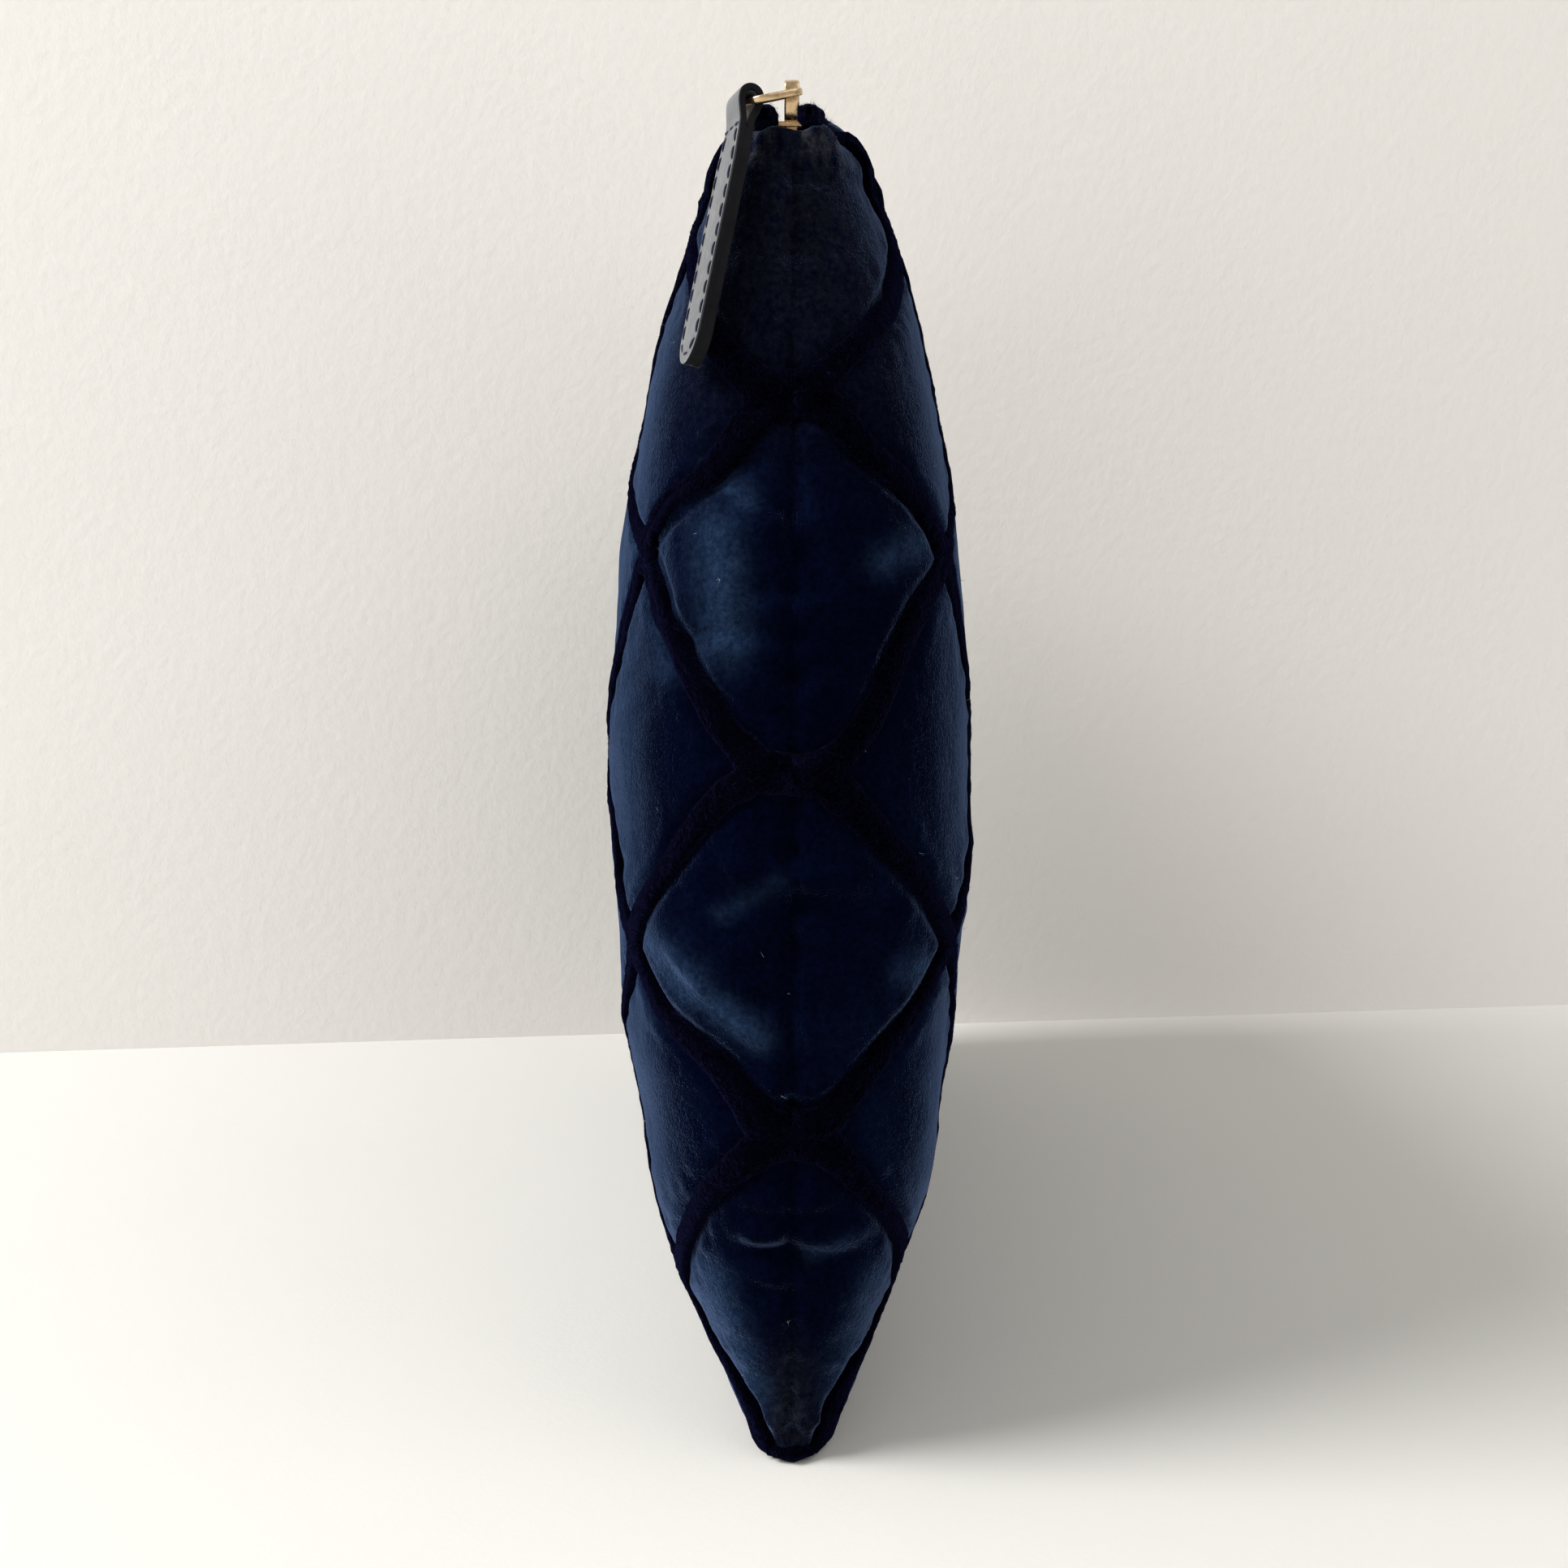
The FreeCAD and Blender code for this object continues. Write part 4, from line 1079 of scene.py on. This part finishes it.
def lining_points(side):
    """The lining's outer face: inside the padding, then up under the lip to the zip tape."""
    rows = [r for r in range(0, velvet_points.shape[0], 3) if 2 * MM < velvet_rows[r] < MOUTH_LEVEL]
    columns = panel_columns(side)[::3] + [panel_columns(side)[-1]]
    along = velvet_along[columns]
    points = []
    for r in rows:
        x, y = level_curve(velvet_rows[r], along)
        width = half_width(velvet_rows[r])
        inset = LINING_INSET + 0.3 * MM * waves(along, velvet_rows[r], 26 * MM, 61)
        x = x * (1 - LINING_INSET / half_length(velvet_rows[r]))
        y = y * (1 - inset / width)
        points.append(np.stack([x, y, np.full_like(x, max(velvet_rows[r], LINING_INSET))], -1))
    x, y = points[-1][:, 0], points[-1][:, 1]
    mouth = np.clip(x, tape_low.x + 6 * MM, tape_high.x - 6 * MM)
    open_part = 1 - smooth(np.abs(x), MOUTH_END - 2 * MM, MOUTH_END + 4 * MM)
    for q, z in ((0.3, 207.0), (0.65, 210.0), (1.0, 212.6)):
        edge = side * np.minimum(np.abs(y), LINING_EDGE)
        level = np.minimum(z * MM, (CORNER_LEVEL - 1.5 * MM) * (1 - open_part) + z * MM * open_part)
        row = np.stack([x + (mouth - x) * q, y + (edge - y) * q, level], -1)
        points.append(row)
    return np.array(points)


for label, side in SIDES:
    points = lining_points(side)
    sheet = new_object(f"lining_sheet_{label}", points.reshape(-1, 3), grid_faces(*points.shape[:2]), lining)
    thick = sheet.modifiers.new("thickness", "SOLIDIFY")
    thick.thickness = LINING_THICKNESS
    thick.offset = 0
    apply_modifiers(sheet)
    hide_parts(f"lining_{label}")
    opens(sheet)


# The slider, its crown and the ring ---------------------------------------------------------------


def superellipse(half_a, half_b, count, power):
    """A rounded rectangle as a ring of (a, b)."""
    turn = 2 * math.pi * (np.arange(count) + 0.5) / count
    cos, sin = np.cos(turn), np.sin(turn)
    return np.stack([signed_power(cos, power) * half_a, signed_power(sin, power) * half_b], 1)


def tube(path, across, section, closed):
    """A section carried along a path in a plane; across is that plane's normal, where section's a lies."""
    path = np.asarray(path, float)
    across = np.asarray(across, float)
    if closed:
        ahead = np.roll(path, -1, 0) - np.roll(path, 1, 0)
    else:
        ahead = np.gradient(path, axis=0)
    ahead /= np.linalg.norm(ahead, axis=1, keepdims=True)
    outward = np.cross(ahead, across)
    rings = path[:, None] + section[None, :, :1] * across + section[None, :, 1:] * outward[:, None]
    count, spokes = rings.shape[:2]
    if not closed:
        return rings.reshape(-1, 3), capped_faces(count, spokes)
    faces = grid_faces(count, spokes, wrap=True).tolist()
    last = (count - 1) * spokes
    faces += [[last + k, last + (k + 1) % spokes, (k + 1) % spokes, k] for k in range(spokes)]
    return rings.reshape(-1, 3), faces


def rounded_path(corners, radius, steps=7, closed=True):
    """Corners in a plane with each one turned on an arc."""
    corners = [np.array(c, float) for c in corners]
    path = []
    count = len(corners)
    for i, corner in enumerate(corners):
        if not closed and i in (0, count - 1):
            path.append(corner)
            continue
        back = corners[i - 1] - corner
        on = corners[(i + 1) % count] - corner
        back, on = back / np.linalg.norm(back), on / np.linalg.norm(on)
        half = math.acos(np.clip(back @ on, -1, 1)) / 2
        reach = radius / math.tan(half)
        centre = corner + (back + on) / np.linalg.norm(back + on) * radius / math.sin(half)
        a, b = corner + back * reach - centre, corner + on * reach - centre
        sweep = math.acos(np.clip(a @ b / radius ** 2, -1, 1))
        for k in range(steps):
            t = k / (steps - 1)
            path.append(centre + (math.sin((1 - t) * sweep) * a + math.sin(t * sweep) * b) / math.sin(sweep))
    return path


def finished_metal(name, points, faces, body, node):
    piece = new_object(name, points, faces, gold)
    tidy_mesh(piece, 0.002 * MM)
    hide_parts(node)
    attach(piece, body)


def slider_shell():
    """Two shield-shaped plates, the flanges along their sides and the neck that parts the teeth."""
    middle = (slider_low + slider_high) / 2 - Vector((0, 0, ZIP_DROP))
    half_x, half_y = (slider_high.x - slider_low.x) / 2, (slider_high.y - slider_low.y) / 2
    half_z = (slider_high.z - slider_low.z) / 2
    half_y -= 0.5 * MM
    nose = half_x - 1.6 * MM
    plate = 0.8 * MM
    outline = [(nose, 0.71 * half_y), (nose - 1.3 * MM, half_y), (0.5 * MM, half_y), (-half_x, 0.74 * half_y)]
    outline += [(x, -y) for x, y in reversed(outline)]
    outline = rounded_path([(x, y, 0) for x, y in outline], 0.7 * MM, 5)
    work = bmesh.new()
    for level in (half_z - plate, -half_z):
        floor = [work.verts.new(Vector(p) + middle + Vector((0, 0, level))) for p in outline]
        face = work.faces.new(floor)
        grown = bmesh.ops.extrude_face_region(work, geom=[face])["geom"]
        top = [v for v in grown if isinstance(v, bmesh.types.BMVert)]
        bmesh.ops.translate(work, vec=(0, 0, plate), verts=top)
    bmesh.ops.recalc_face_normals(work, faces=work.faces)
    sharp = [e for e in work.edges if len(e.link_faces) == 2 and e.calc_face_angle() > 1]
    bmesh.ops.bevel(work, geom=sharp, offset=0.16 * MM, segments=3, profile=0.5, affect="EDGES")
    points = [v.co.copy() for v in work.verts]
    faces = [[v.index for v in f.verts] for f in work.faces]
    work.free()
    bits = [((1.1 * MM, 1.8 * MM, 2 * half_z - plate), (nose - 0.9 * MM, 0, 0))]
    for side in (-1, 1):
        for level in (-1, 1):
            place = (-1.3 * MM, side * (half_y - 0.62 * MM), level * (half_z - plate - 0.2 * MM))
            bits.append(((5.4 * MM, 0.6 * MM, 0.75 * MM), place))
    for size, place in bits:
        block, block_faces = bevelled_block(size, 0.12 * MM)
        join(points, faces, [Vector(p) + Vector(place) + middle for p in block], block_faces)
    return points, faces


def crown_arch():
    """A flat bar bent over the plate: two legs and the bridge that the ring runs under."""
    middle = (crown_low + crown_high) / 2
    half_x = (crown_high.x - crown_low.x) / 2 - 0.65 * MM
    low, high = slider_high.z - ZIP_DROP - 0.1 * MM, crown_high.z + 0.1 * MM
    front = middle.x + half_x - 0.9 * MM
    corners = [(middle.x - half_x, 0, low), (middle.x - half_x, 0, high), (front, 0, high), (front, 0, low)]
    path = rounded_path(corners, 0.8 * MM, 7, closed=False)
    section = superellipse((crown_high.y - crown_low.y) / 2, 0.6 * MM, 20, 0.35)
    return tube(path, (0, 1, 0), section, closed=False)


joints = {joint["name"]: joint for joint in frame["joints"]}
PULL_YAW = math.radians(20)
RING_TILT = math.radians(16)
RING_ROLL = math.radians(12)
PULL_DROP = 1.1 * MM
PULL_LEAN = math.radians(12.5)


def hung_at(joint, turn):
    """The frame of a piece drawn about its hinge."""
    place = Matrix.Translation(joints[joint]["pos_m"])
    return place @ Matrix.Rotation(PULL_YAW, 4, "Z") @ Matrix.Rotation(turn, 4, "X")


def pull_place():
    return Matrix.Translation((0, 0, -PULL_DROP)) @ hung_at("pull_hinge", -PULL_LEAN)


def ring_loop():
    """A flat bar bent into an oval, drawn about the end bar behind the crown."""
    half, reach, slack = 4.4 * MM, 10.4 * MM, 3.2 * MM
    corners = [(-half, -slack, 0), (half, -slack, 0), (half, -reach, 0), (-half, -reach, 0)]
    path = rounded_path(corners, 1.8 * MM, 9)
    section = superellipse(0.55 * MM, 0.6 * MM, 16, 0.5)
    points, faces = tube(path, (0, 0, 1), section, closed=True)
    placed = hung_at("ring_hinge", RING_TILT) @ Matrix.Rotation(RING_ROLL, 4, "Y")
    return [placed @ Vector(p) for p in points], faces


finished_metal("slider_shell", *slider_shell(), "slider", "slider_body")
finished_metal("crown_arch", *crown_arch(), "slider", "slider_crown")
finished_metal("ring_loop", *ring_loop(), "ring", "pull_ring")
for name, parts in (("top_stops", 2), ("bottom_stop", 1)):
    low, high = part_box(name)
    size = (high.x - low.x, (high.y - low.y) / parts - (parts - 1) * 0.6 * MM, high.z - low.z)
    stop, stop_faces = bevelled_block(size, 0.25 * MM)
    points, faces = [], []
    for part in range(parts):
        y = (2 * part - parts + 1) * (high.y - size[1] / 2)
        place = Vector(((low.x + high.x) / 2, y, (low.z + high.z) / 2 - ZIP_DROP))
        join(points, faces, [Vector(p) + place for p in stop], stop_faces)
    finished_metal(f"{name}_shape", points, faces, "pouch", name)


# The leather pull ---------------------------------------------------------------------------------

PULL_LENGTH = 40.2 * MM
PULL_HALF = 4.8 * MM
NECK_HALF = 3.3 * MM
PLY = 1.2 * MM
PLY_OUT = 0.62 * MM
FOLD_RADIUS = 1.45 * MM
LOOP_DROP = 4.0 * MM
STITCH_INSET = 1.4 * MM
STITCH_PITCH = 2.8 * MM


def pull_half_width(drop):
    """Half the leather's width at a distance below its hinge."""
    half = NECK_HALF + (PULL_HALF - NECK_HALF) * smooth(drop, 0.5 * MM, 11 * MM)
    to_end = np.clip(PULL_LENGTH - drop, 0, PULL_HALF)
    return half * np.sqrt(np.clip(1 - (1 - to_end / PULL_HALF) ** 2, 0.0001, 1))


def pull_profile():
    """The leather's middle line in its side view, as (out, up): up the face, over the ring and down behind."""
    tail = [(-PLY_OUT, -PULL_LENGTH + 14 * MM * t * t) for t in np.linspace(0, 1, 22)]
    straight = [(-PLY_OUT, z) for z in np.linspace(-PULL_LENGTH + 14.7 * MM, -LOOP_DROP - 1 * MM, 14)]
    spread = [(-PLY_OUT - (FOLD_RADIUS - PLY_OUT) * float(smooth(t, 0, 1)), -LOOP_DROP * (1 - t))
              for t in (0.1, 0.3, 0.5, 0.7, 0.9)]
    arc = [(-FOLD_RADIUS * math.cos(a), FOLD_RADIUS * math.sin(a)) for a in np.linspace(0.05, math.pi / 2, 8)]
    half = tail + straight + spread + arc
    return half + [(-y, z) for y, z in half[-2::-1]]


def pull_points():
    profile = np.array(pull_profile())
    ahead = np.gradient(profile, axis=0)
    ahead /= np.linalg.norm(ahead, axis=1, keepdims=True)
    outward = np.stack([-ahead[:, 1], ahead[:, 0]], 1)
    section = superellipse(1, 1, 44, 0.30)
    placed = pull_place()
    points, wear, edge = [], [], []
    for (y, z), (oy, oz) in zip(profile, outward):
        half = float(pull_half_width(-z))
        for a, b in section:
            across = a * half
            from_edge = half - abs(across)
            groove = crown = 0
            if z < -LOOP_DROP:
                groove = 0.16 * MM * math.exp(-(((from_edge - STITCH_INSET) / (0.4 * MM)) ** 2))
                crown = 0.14 * MM * float(smooth(from_edge, STITCH_INSET, 3.4 * MM))
            thick = b * PLY / 2 + (crown - groove) * max(b, 0)
            local = Vector((across, y + oy * thick, z + oz * thick))
            points.append(placed @ local)
            wear.append(math.exp(-((from_edge / (0.35 * MM)) ** 2)) * (b > 0.5) * (abs(a) < 0.97))
            edge.append(abs(a) > 0.93 and b < 0.93)
    return points, capped_faces(len(profile), len(section)), wear, edge


def pull_core():
    """The painted edge that fills the joint between the two plies."""
    drops = np.linspace(LOOP_DROP + 0.5 * MM, PULL_LENGTH - 0.02 * MM, 60)
    drops = PULL_LENGTH - (PULL_LENGTH - drops) ** 1.5 / (PULL_LENGTH - LOOP_DROP) ** 0.5
    section = superellipse(1, 1, 24, 0.5)
    placed = pull_place()
    points = []
    for drop in drops:
        half = float(pull_half_width(drop)) - 0.03 * MM
        points += [placed @ Vector((a * half, b * 0.7 * MM, -drop)) for a, b in section]
    return points, capped_faces(len(drops), len(section))


def build_pull():
    points, faces, wear, edge = pull_points()
    strap = new_object("leather_pull", points, faces, leather)
    strap.data.materials.append(edge_paint)
    for face in strap.data.polygons:
        face.material_index = int(sum(edge[i] for i in face.vertices) * 2 >= len(face.vertices))
    store(strap, "wear", wear)
    tidy_mesh(strap, None)
    core = new_object("leather_core", *pull_core(), edge_paint)
    tidy_mesh(core, 0.002 * MM)
    for piece in (strap, core):
        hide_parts("pull_strap")
        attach(piece, "pull")


def stitch_solid(start, end, out, radius=0.17 * MM):
    """One stitch: a plump thread that dips into its holes at both ends."""
    start, end, out = Vector(start), Vector(end), Vector(out)
    path = []
    for t in np.linspace(0, 1, 7):
        lift = radius * (1.1 * math.sin(math.pi * t) ** 0.6 - 0.5)
        path.append(start.lerp(end, t) + out * lift)
    ahead = (end - start).normalized()
    side = ahead.cross(out)
    rings = []
    for i, spot in enumerate(path):
        grow = radius * (0.75 if i in (0, 6) else 1)
        turns = np.linspace(0, 2 * math.pi, 9)[:-1]
        rings += [spot + side * grow * math.cos(a) + out * grow * math.sin(a) for a in turns]
    return rings, capped_faces(7, 8)


def stitch_line():
    """Points along the stitching on one face: down one side, round the end and up the other."""
    side = PULL_HALF - STITCH_INSET
    low = -PULL_LENGTH + PULL_HALF
    top = -LOOP_DROP - 0.6 * MM
    falling = np.arange(top, low, -0.2 * MM)
    line = [(STITCH_INSET - float(pull_half_width(-z)), z) for z in falling]
    line += [(side * math.cos(a), low + side * math.sin(a)) for a in np.linspace(math.pi, 2 * math.pi, 60)]
    line += [(-x, z) for x, z in line[len(falling) - 1::-1]]
    line = np.array(line)
    run = running(line[:, 0], line[:, 1])
    count = int(run[-1] / STITCH_PITCH)
    pairs = []
    for i in range(count):
        ends = [(i + share) * run[-1] / count for share in (0.14, 0.86)]
        pairs.append([(np.interp(s, run, line[:, 0]), np.interp(s, run, line[:, 1])) for s in ends])
    across = float(pull_half_width(-top)) - 0.3 * MM
    for i in range(3):
        ends = [-across + 2 * across * (i + share) / 3 for share in (0.1, 0.9)]
        pairs.append([(x, top + 0.3 * MM) for x in ends])
    return pairs


def build_stitching():
    placed = pull_place()
    points, faces = [], []
    for face_side in (-1, 1):
        level = face_side * (PLY_OUT + PLY / 2 - 0.05 * MM)
        for (x0, z0), (x1, z1) in stitch_line():
            bit, bit_faces = stitch_solid((x0, level, z0), (x1, level, z1), (0, face_side, 0))
            join(points, faces, [placed @ p for p in bit], bit_faces)
    stitching = new_object("pull_stitches", points, faces, thread)
    tidy_mesh(stitching, 0.002 * MM)
    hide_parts("pull_stitching")
    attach(stitching, "pull")


build_pull()
build_stitching()


# The stage ----------------------------------------------------------------------------------------

WALL_BEHIND = 28 * MM
WALL_TURN = math.radians(7.3)
CAMERA_AHEAD = 242 * MM
CAMERA_HEIGHT = 133.5 * MM
CAMERA_ASIDE = -1.2 * MM
CAMERA_PITCH = math.radians(5)
CAMERA_LENS = 36.97


def flat_sheet(name, width, length, material, place):
    points = [(-width, -length, 0), (width, -length, 0), (width, length, 0), (-width, length, 0)]
    made = new_object(name, points, [(0, 1, 2, 3)], material, smooth_shading=False)
    made.matrix_world = place
    made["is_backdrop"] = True


def one_sided(material):
    """Lets the wall be seen from the room only, so that a view from behind it still shows the pouch."""
    tree = material.node_tree
    output = tree.nodes["Material Output"]
    clear = tree.nodes.new("ShaderNodeBsdfTransparent")
    choose = tree.nodes.new("ShaderNodeMixShader")
    facing = tree.nodes.new("ShaderNodeNewGeometry")
    tree.links.new(facing.outputs["Backfacing"], choose.inputs["Fac"])
    tree.links.new(tree.nodes["Principled BSDF"].outputs[0], choose.inputs[1])
    tree.links.new(clear.outputs[0], choose.inputs[2])
    tree.links.new(choose.outputs[0], output.inputs["Surface"])
    return material


table = wall_material("table", (0.66, 0.655, 0.635), 900, 0.05)
wall = one_sided(wall_material("wall", (0.85, 0.83, 0.80), 260, 0.22))
flat_sheet("floor", 3, 3, table, Matrix.Identity(4))
stand = Matrix.Translation((-HALF_LENGTH - WALL_BEHIND, 0, 0))
stand = stand @ Matrix.Rotation(WALL_TURN, 4, "Z") @ Matrix.Rotation(math.pi / 2, 4, "Y")
flat_sheet("backdrop", 2.5, 3, wall, stand)


def area_light(name, place, aim, size, power, colour):
    data = bpy.data.lights.new(name, "AREA")
    data.shape = "DISK"
    data.size = size
    data.energy = power
    data.color = colour
    light = bpy.data.objects.new(name, data)
    light.location = place
    light.rotation_euler = (Vector(aim) - Vector(place)).to_track_quat("-Z", "Y").to_euler()
    bpy.context.scene.collection.objects.link(light)


area_light("window", (0.45, -1.95, 1.8), (0, 0, 0.1), 1.6, 112, (1.0, 0.985, 0.965))
area_light("room", (0.9, 1.3, 1.5), (0, 0, 0.1), 1.8, 8, (1.0, 0.97, 0.93))

world = bpy.data.worlds.new("studio")
world.use_nodes = True
world.node_tree.nodes["Background"].inputs["Color"].default_value = (1.0, 0.985, 0.96, 1)
world.node_tree.nodes["Background"].inputs["Strength"].default_value = 0.5
bpy.context.scene.world = world
bpy.context.scene.view_settings.view_transform = "Standard"

camera_data = bpy.data.cameras.new("camera")
camera_data.sensor_width = 36
camera_data.lens = CAMERA_LENS
camera_data.clip_start = 0.005
camera = bpy.data.objects.new("camera", camera_data)
camera.location = (HALF_LENGTH + CAMERA_AHEAD, CAMERA_ASIDE, CAMERA_HEIGHT)
camera.rotation_euler = (math.pi / 2 - CAMERA_PITCH, 0, math.pi / 2)
bpy.context.scene.collection.objects.link(camera)
bpy.context.scene.camera = camera

bpy.context.view_layer.update()
low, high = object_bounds()
